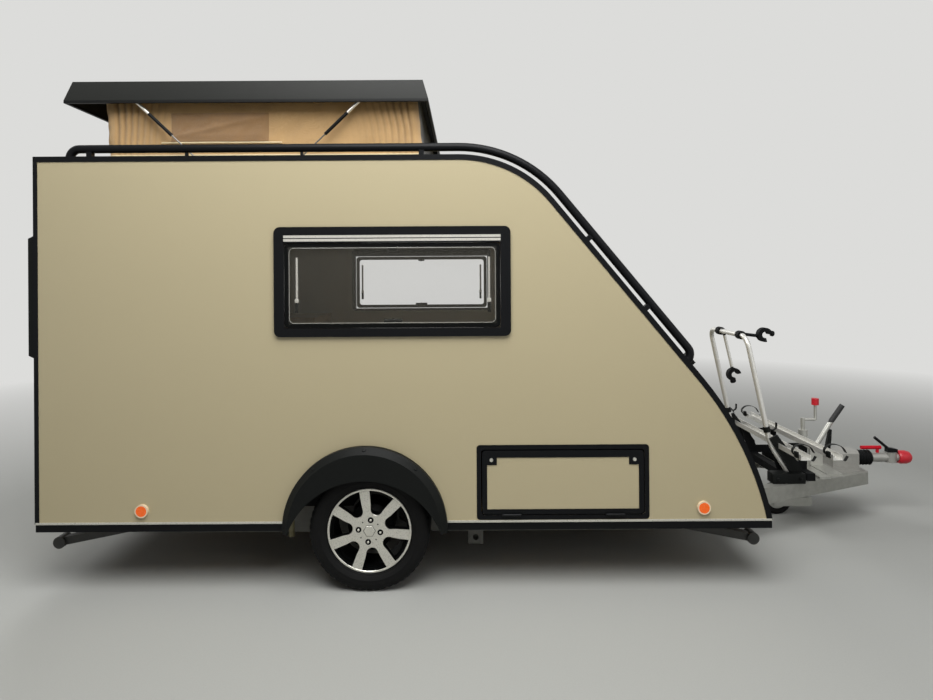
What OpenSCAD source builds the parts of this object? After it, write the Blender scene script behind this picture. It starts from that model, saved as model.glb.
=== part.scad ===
// Small pop-top caravan on one axle, with a bicycle carrier on its drawbar.
// Lengths are in millimetres. +X points at the coupling, +Y to the left side, +Z up.
// The origin lies on the ground, in the middle of the overall length and width.

/* [Body] */
// Length of the body along its floor
body_length = 3608; // [3400:4:3800]
// Width over the side walls
body_width = 2060; // [2000:4:2140]
// Height of the roof above the ground
roof_height = 2142; // [2080:2:2220]
// Height of the lower edge of the walls above the ground
panel_foot = 344; // [334:1:356]
// Thickness of the sandwich walls and of the roof
wall_t = 30; // [26:1:34]
// Thickness of the floor
floor_t = 40; // [34:1:46]
// Steepness of the straight part of the nose, in degrees
slope_deg = 50.5; // [49:0.5:52]
// Turn of the lower nose curve, in degrees
toe_turn = 27.5; // [25:0.5:30]
// Radius of the curve from roof to nose
nose_r = 603; // [560:1:640]
// Radius of the lower nose curve
toe_r = 1635; // [1560:5:1700]
// Height of the black skirt under the walls
skirt_h = 40; // [30:1:46]
// Width of the black edge trim on the side walls
trim_w = 24; // [18:1:32]

/* [Pop-top] */
// Length of the lid at its lip
lid_length = 1900; // [1800:4:1960]
// Width of the lid at its lip
lid_width = 1660; // [1620:4:1680]
// Height of the lid from lip to top
lid_h = 120; // [100:1:140]
// Gap in length between rear wall and lid
lid_setback = 24; // [10:1:50]
// Height of the raised lip over the roof
lid_rise = 319; // [300:1:335]
// Travel of the lid when it closes
lid_travel = 296; // [270:1:298]
// Length of the tent at the roof
tent_length = 1689; // [1640:1:1710]
// Width of the tent at the roof
tent_width = 1520; // [1480:1:1540]

/* [Windows and doors] */
// Width of a side window over its frame
window_w = 1157; // [1040:1:1200]
// Height of a side window over its frame
window_h = 538; // [480:1:560]
// Height of the middle of a side window
window_mid = 1523; // [1480:1:1560]
// Width of the locker door over its frame
locker_w = 845; // [760:1:880]
// Height of the locker door over its frame
locker_h = 365; // [330:1:380]
// Width of the entrance door
door_w = 620; // [580:1:660]
// Height of the entrance door
door_h = 1626; // [1560:1:1660]

/* [Running gear] */
// Distance from rear wall to axle
axle_from_rear = 1633; // [1580:1:1690]
// Radius of a tyre
tyre_r = 297; // [292:1:300]
// Width of a tyre
tyre_w = 195; // [185:1:200]
// Radius of a rim at its flange
rim_r = 208; // [203:1:212]
// Distance between the middles of both tyres
track = 1870; // [1860:1:1880]
// Number of wheel spokes
spokes = 7; // [5:1:9]
// Height of a chassis member
member_h = 164; // [150:1:176]
// Length of a corner steady from its pivot to its foot
steady_length = 430; // [400:1:450]

/* [Drawbar] */
// Reach of the drawbar from the body to the nose pad
drawbar_reach = 1382; // [1360:1:1400]
// Height of the top of the drawbar members
drawbar_top = 300; // [292:1:306]
// Height of the coupling's middle
coupling_z = 358; // [352:1:364]
// Radius of the ball socket
socket_r = 25.3; // [25.1:0.1:25.4]
// Radius of the jockey wheel
jockey_r = 98; // [90:1:100]
// Distance that the jockey wheel trails behind its tube
jockey_trail = 180; // [165:1:190]

/* [Bicycle carrier] */
// Length of a wheel rail
rail_length = 1170; // [1100:2:1240]
// Height of the top of the wheel rails
rail_top = 535; // [520:1:550]
// Distance between the legs of the hoop
hoop_width = 580; // [540:1:600]
// Height of the hoop's top bar
hoop_top = 1175; // [1120:1:1220]

/* [Hidden] */
$fn = 48;

// Distance that every cut runs past the face it opens
over = 5;
// Gap between a set-in piece and its seat
seat_gap = 0.3;
// Gap between a board and the curved nose panel
fit_gap = 0.8;
// Gap around a door leaf
leaf_gap = 5;
// Radial play of a turning piece on its pin
pin_play = 0.1;

// Depth of the rear lamp pods, lenses included
pod_depth = 62;
x_tail = -(pod_depth + body_length + drawbar_reach) / 2;
x_rear = x_tail + pod_depth;
x_front = x_rear + body_length;
x_nose = x_front + drawbar_reach;
x_axle = x_rear + axle_from_rear;
half_w = body_width / 2;
inner_half = half_w - wall_t;
floor_top = panel_foot + floor_t;

// Colours
sand = "#b8aa8c";
dark = "#15181a";
lid_grey = "#3f403e";
cloth = "#b8935f";
zinc = "#bdbdb5";
silver = "#d8d5cc";
red = "#c01828";
glass = "#20242a";
amber = "#ff7a10";
timber = "#b59a72";

// Side contour, from the foot of the nose up to the roof
toe_deg = slope_deg + toe_turn;
toe_c = [x_front - toe_r * sin(toe_deg), panel_foot - toe_r * cos(toe_deg)];
toe_end = toe_c + toe_r * [sin(slope_deg), cos(slope_deg)];
bend_z = roof_height - nose_r * (1 - cos(slope_deg));
slope_run = (bend_z - toe_end[1]) / tan(slope_deg);
nose_c = [toe_end[0] - slope_run - nose_r * sin(slope_deg), roof_height - nose_r];
slope_length = (bend_z - toe_end[1]) / sin(slope_deg);
toe_steps = 10;
nose_steps = 18;

function arc(c, r, a0, a1, n) =
    [for (i = [0:n]) c + r * [sin(a0 + (a1 - a0) * i / n), cos(a0 + (a1 - a0) * i / n)]];
function nose_line(off) = concat(
    arc(toe_c, toe_r - off, toe_deg, slope_deg, toe_steps),
    arc(nose_c, nose_r - off, slope_deg, 0, nose_steps));
function toe_x(z, off) = toe_c[0] + sqrt(pow(toe_r - off, 2) - pow(z - toe_c[1], 2));
function round_rect(w, h, r, n = 5) =
    [for (q = [0:3]) for (i = [0:n])
        let (a = 90 * q + 90 * i / n)
        [(q == 0 || q == 3 ? 1 : -1) * (w / 2 - r) + r * cos(a),
         (q < 2 ? 1 : -1) * (h / 2 - r) + r * sin(a)]];

// Draws an outline of the XZ plane as a plate from y to y + t
module xz_plate(y, t) {
    translate([0, y + t, 0]) rotate([90, 0, 0]) linear_extrude(t) children();
}
// Draws an outline of the YZ plane as a plate from x to x + t
module yz_plate(x, t) {
    translate([x, 0, 0]) rotate([90, 0, 90]) linear_extrude(t) children();
}
// Draws the children on both sides of the caravan
module both_sides() {
    children();
    mirror([0, 1, 0]) children();
}
// A bar along Y
module y_bar(x, z, r, y, t) {
    translate([x, y + t, z]) rotate([90, 0, 0]) cylinder(r = r, h = t);
}
// A bar along X
module x_bar(y, z, r, x, t) {
    translate([x, y, z]) rotate([0, 90, 0]) cylinder(r = r, h = t);
}
// A box given by its low corner and its size
module box(at, size) {
    translate(at) cube(size);
}
// A round bar between two points
module rod_between(a, b, r) {
    d = b - a;
    translate(a)
        rotate([0, acos(d[2] / norm(d)), atan2(d[1], d[0])])
            cylinder(r = r, h = norm(d));
}

function unit(v) = v / norm(v);
function heading(pts, i) =
    unit(pts[min(i + 1, len(pts) - 1)] - pts[max(i - 1, 0)]);
function square_to(v, t) = unit(v - (v * t) * t);
// Carries a side direction along a path without twist
function carried(pts, v, i = 0) = i == len(pts) ? [] :
    let (w = square_to(v, heading(pts, i))) concat([w], carried(pts, w, i + 1));
// A round tube swept along a path of points
module tube_along(pts, r, side, n = 16) {
    sides = carried(pts, side);
    last = len(pts) - 1;
    rings = [for (i = [0:last]) for (k = [0:n - 1])
        pts[i] + r * (cos(360 * k / n) * sides[i]
            + sin(360 * k / n) * cross(heading(pts, i), sides[i]))];
    polyhedron(
        points = rings,
        faces = concat(
            [[for (k = [0:n - 1]) k]],
            [[for (k = [0:n - 1]) last * n + n - 1 - k]],
            [for (i = [0:last - 1]) for (k = [0:n - 1])
                [i * n + k, (i + 1) * n + k, (i + 1) * n + (k + 1) % n, i * n + (k + 1) % n]]));
}
// Points of an arc in the XZ plane, from one angle to another
function bow(c, r, a0, a1, n) =
    [for (i = [0:n]) let (a = a0 + (a1 - a0) * i / n) [c[0] + r * cos(a), 0, c[1] + r * sin(a)]];

module body_outline(off, rear_off, foot) {
    polygon(concat(
        [[toe_x(panel_foot, off), panel_foot - foot]],
        nose_line(off),
        [[x_rear + rear_off, roof_height - off], [x_rear + rear_off, panel_foot - foot]]));
}

// Wheel arch
arch_x = x_axle - 17;
arch_z = 318;
arch_r = 402;
arch_bulge = 60;
arch_skin = 4;
arch_lip_r = 397;
arch_lip_drop = 152;
arch_shoulder = 30;
arch_foot = 304;
wall_cut_r = 372;

// Side windows
window_mid_x = x_rear + 1755.5;
window_side = 49;
window_top = 35;
window_bottom = 41;
window_corner = 30;
window_proud = 15;
window_lap = 22;
hinge_strip_h = 30;
hinge_strip_drop = 13;
pane_proud = 12;
pane_bevel = 26;
pane_in = 10;

// Locker
locker_mid_x = x_rear + 2584.5;
locker_foot = 354;
locker_ring = 22;
locker_proud = 3;
locker_corner = 16;
leaf_w = locker_w - 2 * (locker_ring + leaf_gap);
leaf_h = locker_h - 2 * (locker_ring + leaf_gap);
leaf_z = locker_foot + locker_h / 2;
leaf_border = 24;
leaf_head = 34;
leaf_proud = 6;
lock_pad_w = 48;
lock_pad_h = 36;
locker_hinge_out = 12;
locker_hinge_r = 7;
locker_hinge_z = leaf_z - leaf_h / 2 - leaf_gap / 2;
locker_hinge_w = 90;
locker_hinge_share = 0.32;

module window_hole(lap) {
    translate([window_mid_x, window_mid])
        polygon(round_rect(window_w - 2 * lap, window_h - 2 * lap, window_corner));
}
module side_wall() {
    difference() {
        xz_plate(-half_w, wall_t) body_outline(0, 0, 0);
        xz_plate(-half_w - over, wall_t + 2 * over) window_hole(window_lap);
        y_bar(arch_x, arch_z, wall_cut_r, -half_w - over, wall_t + 2 * over);
    }
}
module side_wall_right() color(sand) {
    difference() {
        side_wall();
        xz_plate(-half_w - over, wall_t + 2 * over)
            translate([locker_mid_x, leaf_z])
                polygon(round_rect(locker_w - 2 * locker_ring, locker_h - 2 * locker_ring,
                    locker_corner));
    }
}
module side_wall_left() color(sand) {
    mirror([0, 1, 0]) side_wall();
}

// Floor with its openings over the wheels
wheel_box_r = 385;
wheel_box_skin = 4;
wheel_box_in = 795;
module floor_panel() color(timber) {
    difference() {
        xz_plate(-inner_half, 2 * inner_half)
            polygon([[x_rear + wall_t, panel_foot], [toe_x(panel_foot, wall_t + fit_gap), panel_foot],
                [toe_x(floor_top, wall_t + fit_gap), floor_top], [x_rear + wall_t, floor_top]]);
        both_sides()
            y_bar(x_axle, arch_z, wheel_box_r + seat_gap, -inner_half - over,
                inner_half - wheel_box_in + over);
    }
}
module wheel_boxes() color(dark) {
    both_sides() difference() {
        y_bar(x_axle, arch_z, wheel_box_r, -inner_half, inner_half - wheel_box_in - seat_gap);
        y_bar(x_axle, arch_z, wheel_box_r - wheel_box_skin, -inner_half - over,
            inner_half - wheel_box_in - wheel_box_skin + over);
        box([x_axle - wheel_box_r - over, -inner_half - over, -wheel_box_r],
            [2 * (wheel_box_r + over), inner_half, wheel_box_r + panel_foot]);
    }
}

// Rear wall, with the opening of the entrance door
door_foot = panel_foot + 40;
door_mid_z = door_foot + door_h / 2;
door_corner = 40;
door_proud = 6;
door_hinge_out = 12;
door_hinge_r = 8;
door_hinge_h = 70;
door_hinge_y = door_w / 2 + leaf_gap / 2;
door_hinge_shares = [0.12, 0.5, 0.88];
door_window_w = 420;
door_window_h = 540;
door_window_z = 1560;
door_frame_w = 34;
door_frame_proud = 9;
handle_w = 90;
handle_h = 130;
handle_proud = 16;
handle_z = 1120;
module rear_wall() color(sand) {
    difference() {
        box([x_rear, -inner_half, panel_foot],
            [wall_t, 2 * inner_half, roof_height - wall_t - panel_foot]);
        yz_plate(x_rear - over, wall_t + 2 * over)
            translate([0, door_mid_z])
                polygon(round_rect(door_w + 2 * leaf_gap, door_h + 2 * leaf_gap, door_corner));
    }
}
module rear_door() color(sand) {
    difference() {
        yz_plate(x_rear - door_proud, wall_t + door_proud)
            translate([0, door_mid_z]) polygon(round_rect(door_w, door_h, door_corner));
        yz_plate(x_rear - door_proud - over, wall_t + door_proud + 2 * over)
            translate([0, door_window_z])
                polygon(round_rect(door_window_w, door_window_h, window_corner));
    }
    difference() {
        box([x_rear - door_proud - handle_proud, -door_w / 2 + door_frame_w, handle_z],
            [handle_proud, handle_w, handle_h]);
        box([x_rear - door_proud - handle_proud - over, -door_w / 2 + 2 * door_frame_w,
            handle_z + door_frame_w],
            [handle_proud, handle_w - 2 * door_frame_w, handle_h - 2 * door_frame_w]);
    }
    for (s = door_hinge_shares)
        translate([x_rear - door_hinge_out, door_hinge_y,
            door_foot + s * door_h - door_hinge_h / 2])
            cylinder(r = door_hinge_r, h = door_hinge_h);
}
module rear_door_pane() color(glass) {
    difference() {
        union() {
            yz_plate(x_rear - door_proud - door_frame_proud, door_frame_proud)
                translate([0, door_window_z])
                    polygon(round_rect(door_window_w + 2 * door_frame_w,
                        door_window_h + 2 * door_frame_w, window_corner));
            yz_plate(x_rear - door_proud, wall_t + door_proud)
                translate([0, door_window_z])
                    polygon(round_rect(door_window_w - 2 * seat_gap,
                        door_window_h - 2 * seat_gap, window_corner));
        }
        yz_plate(x_rear + pane_in, wall_t)
            translate([0, door_window_z])
                polygon(round_rect(door_window_w - 2 * door_frame_w,
                    door_window_h - 2 * door_frame_w, window_corner));
    }
}

// Roof with its hatch, and the bent nose panel
tent_rear = x_rear + lid_setback + 192;
tent_front = tent_rear + tent_length;
tent_t = 8;
coaming_w = 30;
coaming_h = 18;
hatch_length = tent_length - 2 * coaming_w;
hatch_width = tent_width - 2 * coaming_w;
hatch_corner = 60;
hatch_mid = (tent_rear + tent_front) / 2;
module roof_panel() color(sand) {
    difference() {
        box([x_rear, -inner_half, roof_height - wall_t],
            [nose_c[0] - x_rear, 2 * inner_half, wall_t]);
        translate([hatch_mid, 0, roof_height - wall_t - over])
            linear_extrude(wall_t + 2 * over)
                polygon(round_rect(hatch_length, hatch_width, hatch_corner));
    }
}
module nose_panel() color(sand) {
    inner = nose_line(wall_t);
    n = len(inner) - 1;
    difference() {
        xz_plate(-inner_half, 2 * inner_half)
            polygon(concat(nose_line(0), [for (i = [0:n]) inner[n - i]]));
        box([x_front - toe_r / 2, -half_w, 0], [toe_r, body_width, panel_foot]);
    }
}

// Black edge trims and skirts
trim_t = 3;
trim_rear_w = 18;
trim_lip = 36;
module edge_trims() color(dark) {
    both_sides() {
        xz_plate(-half_w - trim_t, trim_t) difference() {
            body_outline(-trim_t, -trim_t, 0);
            body_outline(trim_w, trim_rear_w, over);
        }
        xz_plate(-half_w - trim_t, trim_lip) difference() {
            body_outline(-trim_t, -trim_t, 0);
            body_outline(0, 0, over);
        }
    }
}
skirt_t = 20;
module skirts() color(dark) {
    difference() {
        box([x_rear, -half_w, panel_foot - skirt_h], [body_length, body_width, skirt_h]);
        box([x_rear + skirt_t, -half_w + skirt_t, panel_foot - skirt_h - over],
            [body_length - 2 * skirt_t, body_width - 2 * skirt_t, skirt_h + 2 * over]);
        box([arch_x - arch_r, -half_w - over, panel_foot - skirt_h - over],
            [2 * arch_r, body_width + 2 * over, skirt_h + 2 * over]);
    }
}

// Roof rails, bent along the contour
rail_r = 21;
rail_lift = 45;
rail_y = half_w - 35;
rail_rear_gap = 158;
rail_bend = 48;
rail_front_share = 0.87;
rail_foot_w = 26;
rail_foot_t = 30;
rail_feet = [40, 1680];
rail_slope_feet = [0.25, 0.7];
rail_bend_steps = 8;
rail_nose_steps = 16;
module rail() {
    x0 = x_rear + rail_rear_gap;
    top = roof_height + rail_lift;
    arc_r = nose_r + rail_lift;
    s0 = nose_c + arc_r * [sin(slope_deg), cos(slope_deg)];
    run = slope_length * rail_front_share;
    s1 = s0 + run * [cos(slope_deg), -sin(slope_deg)];
    path = concat(
        [[x0, 0, roof_height - over]],
        bow([x0 + rail_bend, top - rail_bend], rail_bend, 180, 90, rail_bend_steps),
        bow(nose_c, arc_r, 90, 90 - slope_deg, rail_nose_steps),
        bow([s1[0] - rail_bend * sin(slope_deg), s1[1] - rail_bend * cos(slope_deg)],
            rail_bend, 90 - slope_deg, -slope_deg, rail_bend_steps));
    translate([0, -rail_y, 0]) {
        tube_along(path, rail_r, [0, 1, 0]);
        for (f = rail_feet)
            box([x0 + rail_bend + f, -rail_foot_t / 2, roof_height + trim_t],
                [rail_foot_w, rail_foot_t, rail_lift]);
        for (f = rail_slope_feet)
            translate([s0[0] + f * run * cos(slope_deg), 0, s0[1] - f * run * sin(slope_deg)])
                rotate([0, slope_deg, 0])
                    box([0, -rail_foot_t / 2, trim_t - rail_lift],
                        [rail_foot_w, rail_foot_t, rail_lift]);
    }
}
module roof_rails() color(dark) {
    both_sides() difference() {
        rail();
        xz_plate(-rail_y - rail_foot_t, 2 * rail_foot_t) body_outline(-trim_t, -trim_t, 0);
    }
}

// Wheel arches: a thin crescent shell on each side
module arch_shell(cut) {
    translate([arch_x, -half_w, arch_z]) rotate([90, 0, 0]) rotate_extrude()
        polygon([[0, -cut * over], [arch_r - cut * arch_skin, -cut * over],
            [arch_r - cut * arch_skin, arch_shoulder],
            [arch_r - arch_shoulder - cut * arch_skin, arch_bulge - cut * arch_skin],
            [0, arch_bulge - cut * arch_skin]]);
}
module wheel_arches() color(dark) {
    both_sides() difference() {
        arch_shell(0);
        arch_shell(1);
        y_bar(arch_x, arch_z - arch_lip_drop, arch_lip_r, -half_w - 2 * arch_bulge,
            3 * arch_bulge);
        box([arch_x - 2 * arch_r, -half_w - 2 * arch_bulge, -2 * arch_r],
            [4 * arch_r, 3 * arch_bulge, 2 * arch_r + arch_foot]);
    }
}

// Side windows: frames with their hinge strips, and panes
pane_w = window_w - 2 * window_side;
pane_top = window_mid + window_h / 2 - window_top - hinge_strip_drop - hinge_strip_h;
pane_foot = window_mid - window_h / 2 + window_bottom;
module window_frames() color(dark) {
    both_sides() {
        difference() {
            union() {
                xz_plate(-half_w - window_proud, window_proud) window_hole(0);
                xz_plate(-half_w, wall_t) window_hole(window_lap + seat_gap);
            }
            xz_plate(-half_w - window_proud - over, wall_t + window_proud + 2 * over)
                translate([window_mid_x, (pane_top + pane_foot) / 2])
                    square([pane_w, pane_top - pane_foot], center = true);
        }
        box([window_mid_x - pane_w / 2, -half_w - window_proud - trim_t,
            pane_top + hinge_strip_drop / 2], [pane_w, 2 * trim_t, hinge_strip_h]);
    }
}
module window_panes() color(glass) {
    w = pane_w - 2 * seat_gap;
    h = pane_top - pane_foot - 2 * seat_gap;
    both_sides() translate([window_mid_x, -half_w, (pane_top + pane_foot) / 2]) hull() {
        box([-w / 2, 0, -h / 2], [w, pane_in, h]);
        box([-w / 2 + pane_bevel, -pane_proud, -h / 2 + pane_bevel],
            [w - 2 * pane_bevel, pane_in, h - 2 * pane_bevel]);
    }
}

// Locker: a fixed ring on the wall and a leaf that falls outward
module locker_frame() color(dark) {
    xz_plate(-half_w - locker_proud, locker_proud) difference() {
        translate([locker_mid_x, leaf_z]) polygon(round_rect(locker_w, locker_h, locker_corner));
        translate([locker_mid_x, leaf_z])
            polygon(round_rect(locker_w - 2 * locker_ring, locker_h - 2 * locker_ring,
                locker_corner));
    }
}
module leaf_infill(gap) {
    difference() {
        translate([locker_mid_x, leaf_z - (leaf_head - leaf_border) / 2])
            square([leaf_w - 2 * leaf_border - 2 * gap,
                leaf_h - leaf_head - leaf_border - 2 * gap], center = true);
        for (s = [-1, 1])
            translate([locker_mid_x + s * (leaf_w / 2 - leaf_border),
                leaf_z + leaf_h / 2 - leaf_head])
                square([2 * (lock_pad_w + gap), 2 * (lock_pad_h + gap)], center = true);
    }
}
module locker_door() color(dark) {
    xz_plate(-half_w - leaf_proud, wall_t + leaf_proud) difference() {
        translate([locker_mid_x, leaf_z]) polygon(round_rect(leaf_w, leaf_h, locker_corner));
        leaf_infill(0);
    }
    for (s = [-1, 1])
        x_bar(-half_w - locker_hinge_out, locker_hinge_z, locker_hinge_r,
            locker_mid_x + s * locker_hinge_share * leaf_w - locker_hinge_w / 2, locker_hinge_w);
}
module locker_panel() color(sand) {
    xz_plate(-half_w - trim_t, wall_t) leaf_infill(seat_gap);
}

// Lamps and the plate holder
pod_w = 90;
pod_z = 1137;
pod_h = 637;
pod_edge = 28;
pod_inset = 40;
lens_proud = 5;
lens_r = 34;
lens_shares = [0.2, 0.5, 0.8];
marker_r = 32;
marker_proud = 14;
marker_x = [x_rear + 523, x_rear + 3272];
marker_z = 408;
front_lamp_share = 0.9;
front_lamp_l = 60;
front_lamp_h = 34;
front_lamp_w = 44;
front_lamp_y = half_w - 90;
module lamp_housings() color(dark) {
    both_sides() {
        xz_plate(-half_w + pod_inset, pod_w)
            polygon([[x_rear, pod_z], [x_tail + lens_proud, pod_z + pod_edge],
                [x_tail + lens_proud, pod_z + pod_h - pod_edge], [x_rear, pod_z + pod_h]]);
        translate([toe_end[0] - (1 - front_lamp_share) * slope_run, -front_lamp_y,
            toe_end[1] + (1 - front_lamp_share) * (bend_z - toe_end[1])])
            rotate([0, slope_deg, 0])
                box([0, -front_lamp_w / 2, 0], [front_lamp_l, front_lamp_w, front_lamp_h]);
    }
}
module lamp_lenses() color(red) {
    both_sides() for (s = lens_shares)
        x_bar(-half_w + pod_inset + pod_w / 2, pod_z + s * pod_h, lens_r, x_tail, lens_proud);
}
module side_markers() color(amber) {
    both_sides() for (x = marker_x)
        y_bar(x, marker_z, marker_r, -half_w - marker_proud, marker_proud);
}
plate_w = 540;
plate_h = 130;
plate_t = 10;
plate_y = -655;
plate_z = 620;
plate_lamp_w = 90;
plate_lamp_h = 34;
plate_lamp_t = 40;
module plate_holder() color(dark) {
    box([x_rear - plate_t, plate_y - plate_w / 2, plate_z], [plate_t, plate_w, plate_h]);
    box([x_rear - plate_lamp_t, plate_y - plate_lamp_w / 2, plate_z + plate_h],
        [plate_lamp_t, plate_lamp_w, plate_lamp_h]);
}

// Pop-top: hatch frame with strut brackets, tent, lid and gas struts
lid_rear = x_rear + lid_setback;
lid_mid = lid_rear + lid_length / 2;
lid_lip_z = roof_height + lid_rise;
lid_skin = 15;
lid_taper = 30;
lid_lip_h = 14;
lid_top_z = lid_lip_z + lid_h;
strut_y = lid_width / 2 - 35;
strut_half = 599;
strut_run = 325;
strut_top_z = lid_lip_z + 24;
strut_foot_z = roof_height + 33;
strut_drop = strut_top_z - strut_foot_z;
strut_len = sqrt(strut_run * strut_run + strut_drop * strut_drop);
strut_deg = atan(strut_drop / strut_run);
strut_r = 9;
strut_bore_r = 4.4;
strut_rod_r = 4;
strut_tube_len = 270;
strut_rod_in = 40;
strut_bore_len = 190;
strut_eye_r = 11;
strut_eye_t = 14;
strut_pin_r = 4;
bracket_t = 5;
bracket_w = 44;
strut_play = 0.5;
bracket_in = strut_r + strut_play;
module hatch_frame() color(zinc) {
    translate([hatch_mid, 0, roof_height]) linear_extrude(coaming_h) difference() {
        polygon(round_rect(tent_length, tent_width, hatch_corner + coaming_w));
        polygon(round_rect(hatch_length, hatch_width, hatch_corner));
    }
    both_sides() for (s = [-1, 1])
        box([lid_mid + s * (strut_half - strut_run) - bracket_w / 2,
            -strut_y + bracket_in, roof_height],
            [bracket_w, bracket_t, strut_foot_z - roof_height + strut_eye_r]);
}
tent_lean_rear = 33;
tent_lean_front = 48;
module tent_block(inset, drop) {
    z0 = roof_height + coaming_h;
    z1 = lid_top_z - lid_skin;
    hull() {
        box([tent_rear + inset, -tent_width / 2 + inset, z0 - drop],
            [tent_length - 2 * inset, tent_width - 2 * inset, seat_gap]);
        box([tent_rear - tent_lean_rear + inset, -tent_width / 2 + inset, z1 + drop - seat_gap],
            [tent_length + tent_lean_rear - tent_lean_front - 2 * inset,
             tent_width - 2 * inset, seat_gap]);
    }
}
module tent() color(cloth) {
    difference() {
        tent_block(0, 0);
        tent_block(tent_t, over);
    }
}
module lid_block(inset, drop) {
    hull() {
        box([lid_rear + inset, -lid_width / 2 + inset, lid_lip_z - drop],
            [lid_length - 2 * inset, lid_width - 2 * inset, lid_lip_h]);
        box([lid_rear + lid_taper + inset, -lid_width / 2 + lid_taper + inset,
            lid_top_z - inset - lid_lip_h],
            [lid_length - 2 * (lid_taper + inset), lid_width - 2 * (lid_taper + inset),
             lid_lip_h]);
    }
}
module roof_lid() color(lid_grey) {
    difference() {
        lid_block(0, 0);
        lid_block(lid_skin, over);
    }
    both_sides() for (s = [-1, 1]) {
        box([lid_mid + s * strut_half - bracket_w / 2, -strut_y + bracket_in,
            strut_top_z - strut_eye_r], [bracket_w, bracket_t, lid_top_z - strut_top_z]);
        y_bar(lid_mid + s * strut_half, strut_top_z, strut_pin_r, -strut_y - strut_eye_t / 2,
            strut_eye_t / 2 + bracket_in + bracket_t);
    }
}
// Places a strut drawn down its own axis from the pin on the lid
module strut_place(s) {
    both_sides() translate([lid_mid + s * strut_half, -strut_y, strut_top_z])
        rotate([0, s * (90 - strut_deg), 0]) mirror([0, 0, 1]) children();
}
module strut_tube(s) color(dark) {
    strut_place(s) difference() {
        union() {
            translate([0, 0, strut_eye_r / 2]) cylinder(r = strut_r, h = strut_tube_len - strut_eye_r / 2);
            translate([0, strut_eye_t / 2, 0]) rotate([90, 0, 0])
                cylinder(r = strut_eye_r, h = strut_eye_t);
        }
        translate([0, 0, strut_tube_len - strut_bore_len])
            cylinder(r = strut_bore_r, h = strut_bore_len + over);
        translate([0, strut_eye_t / 2 + over, 0]) rotate([90, 0, 0])
            cylinder(r = strut_pin_r + pin_play, h = strut_eye_t + 2 * over);
    }
}
module strut_rod(s) color(silver) {
    strut_place(s) {
        translate([0, 0, strut_tube_len - strut_rod_in])
            cylinder(r = strut_rod_r, h = strut_len - strut_tube_len + strut_rod_in);
        translate([0, strut_eye_t / 2, strut_len]) rotate([90, 0, 0])
            cylinder(r = strut_eye_r, h = strut_eye_t);
    }
}
module strut_tubes_rear() strut_tube(-1);
module strut_rods_rear() strut_rod(-1);
module strut_tubes_front() strut_tube(1);
module strut_rods_front() strut_rod(1);

// Chassis
member_y = 700;
member_w = 45;
member_skin = 5;
member_x0 = x_rear + 70;
member_x1 = x_rear + 3064;
member_z = panel_foot - member_h;
member_rear_taper = 500;
member_rear_share = 0.5;
tube_x = x_axle + 160;
tube_z = 200;
tube_r = 58;
notch_top = 262;
notch_half = 90;
notch_slope = 40;
module member_outline(inset) {
    polygon([
        [member_x0 - inset * over, panel_foot - inset * member_skin],
        [member_x0 - inset * over, panel_foot - member_h * member_rear_share + inset * member_skin],
        [member_x0 + member_rear_taper, member_z + inset * member_skin],
        [tube_x - notch_half - notch_slope, member_z + inset * member_skin],
        [tube_x - notch_half, notch_top + inset * member_skin],
        [tube_x + notch_half, notch_top + inset * member_skin],
        [tube_x + notch_half + notch_slope, member_z + inset * member_skin],
        [member_x1 + inset * over, member_z + inset * member_skin],
        [member_x1 + inset * over, panel_foot - inset * member_skin]]);
}
module chassis_members() color(zinc) {
    both_sides() difference() {
        xz_plate(-member_y - member_w / 2, member_w) member_outline(0);
        xz_plate(-member_y - member_w / 2 + member_skin, member_w) member_outline(1);
    }
}
cross_w = 50;
cross_h = 90;
cross_x = [x_rear + 100, x_rear + 1000, x_rear + 2200];
front_beam_w = 50;
module cross_members() color(zinc) {
    for (x = cross_x)
        box([x, -member_y + member_w / 2, panel_foot - cross_h],
            [cross_w, 2 * member_y - member_w, cross_h]);
    box([member_x1, -member_y - member_w / 2, member_z],
        [front_beam_w, 2 * member_y + member_w, member_h]);
}
apex_x = x_nose - 369;
apex_y = 110;
drawbar_w = 62;
drawbar_skin = 6;
drawbar_front_h = 72;
drawbar_rear_h = 118;
drawbar_x0 = member_x1 + front_beam_w;
drawbar_deg = atan((member_y - apex_y - drawbar_w / 2) / (apex_x - drawbar_x0));
drawbar_len = (apex_x - drawbar_x0) / cos(drawbar_deg) + drawbar_w;
module drawbar_outline(inset) {
    polygon([
        [-inset * over, drawbar_top - inset * drawbar_skin],
        [-inset * over, drawbar_top - drawbar_front_h + inset * drawbar_skin],
        [drawbar_len + inset * over, drawbar_top - drawbar_rear_h + inset * drawbar_skin],
        [drawbar_len + inset * over, drawbar_top - inset * drawbar_skin]]);
}
module drawbar_members() color(zinc) {
    both_sides() difference() {
        translate([apex_x, -apex_y, 0]) rotate([0, 0, 180 + drawbar_deg]) difference() {
            xz_plate(-drawbar_w / 2, drawbar_w) drawbar_outline(0);
            xz_plate(-drawbar_w / 2 - drawbar_skin, drawbar_w) drawbar_outline(1);
        }
        box([drawbar_x0 - drawbar_len, -2 * member_y, 0],
            [drawbar_len, 2 * member_y, roof_height]);
    }
}

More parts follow.
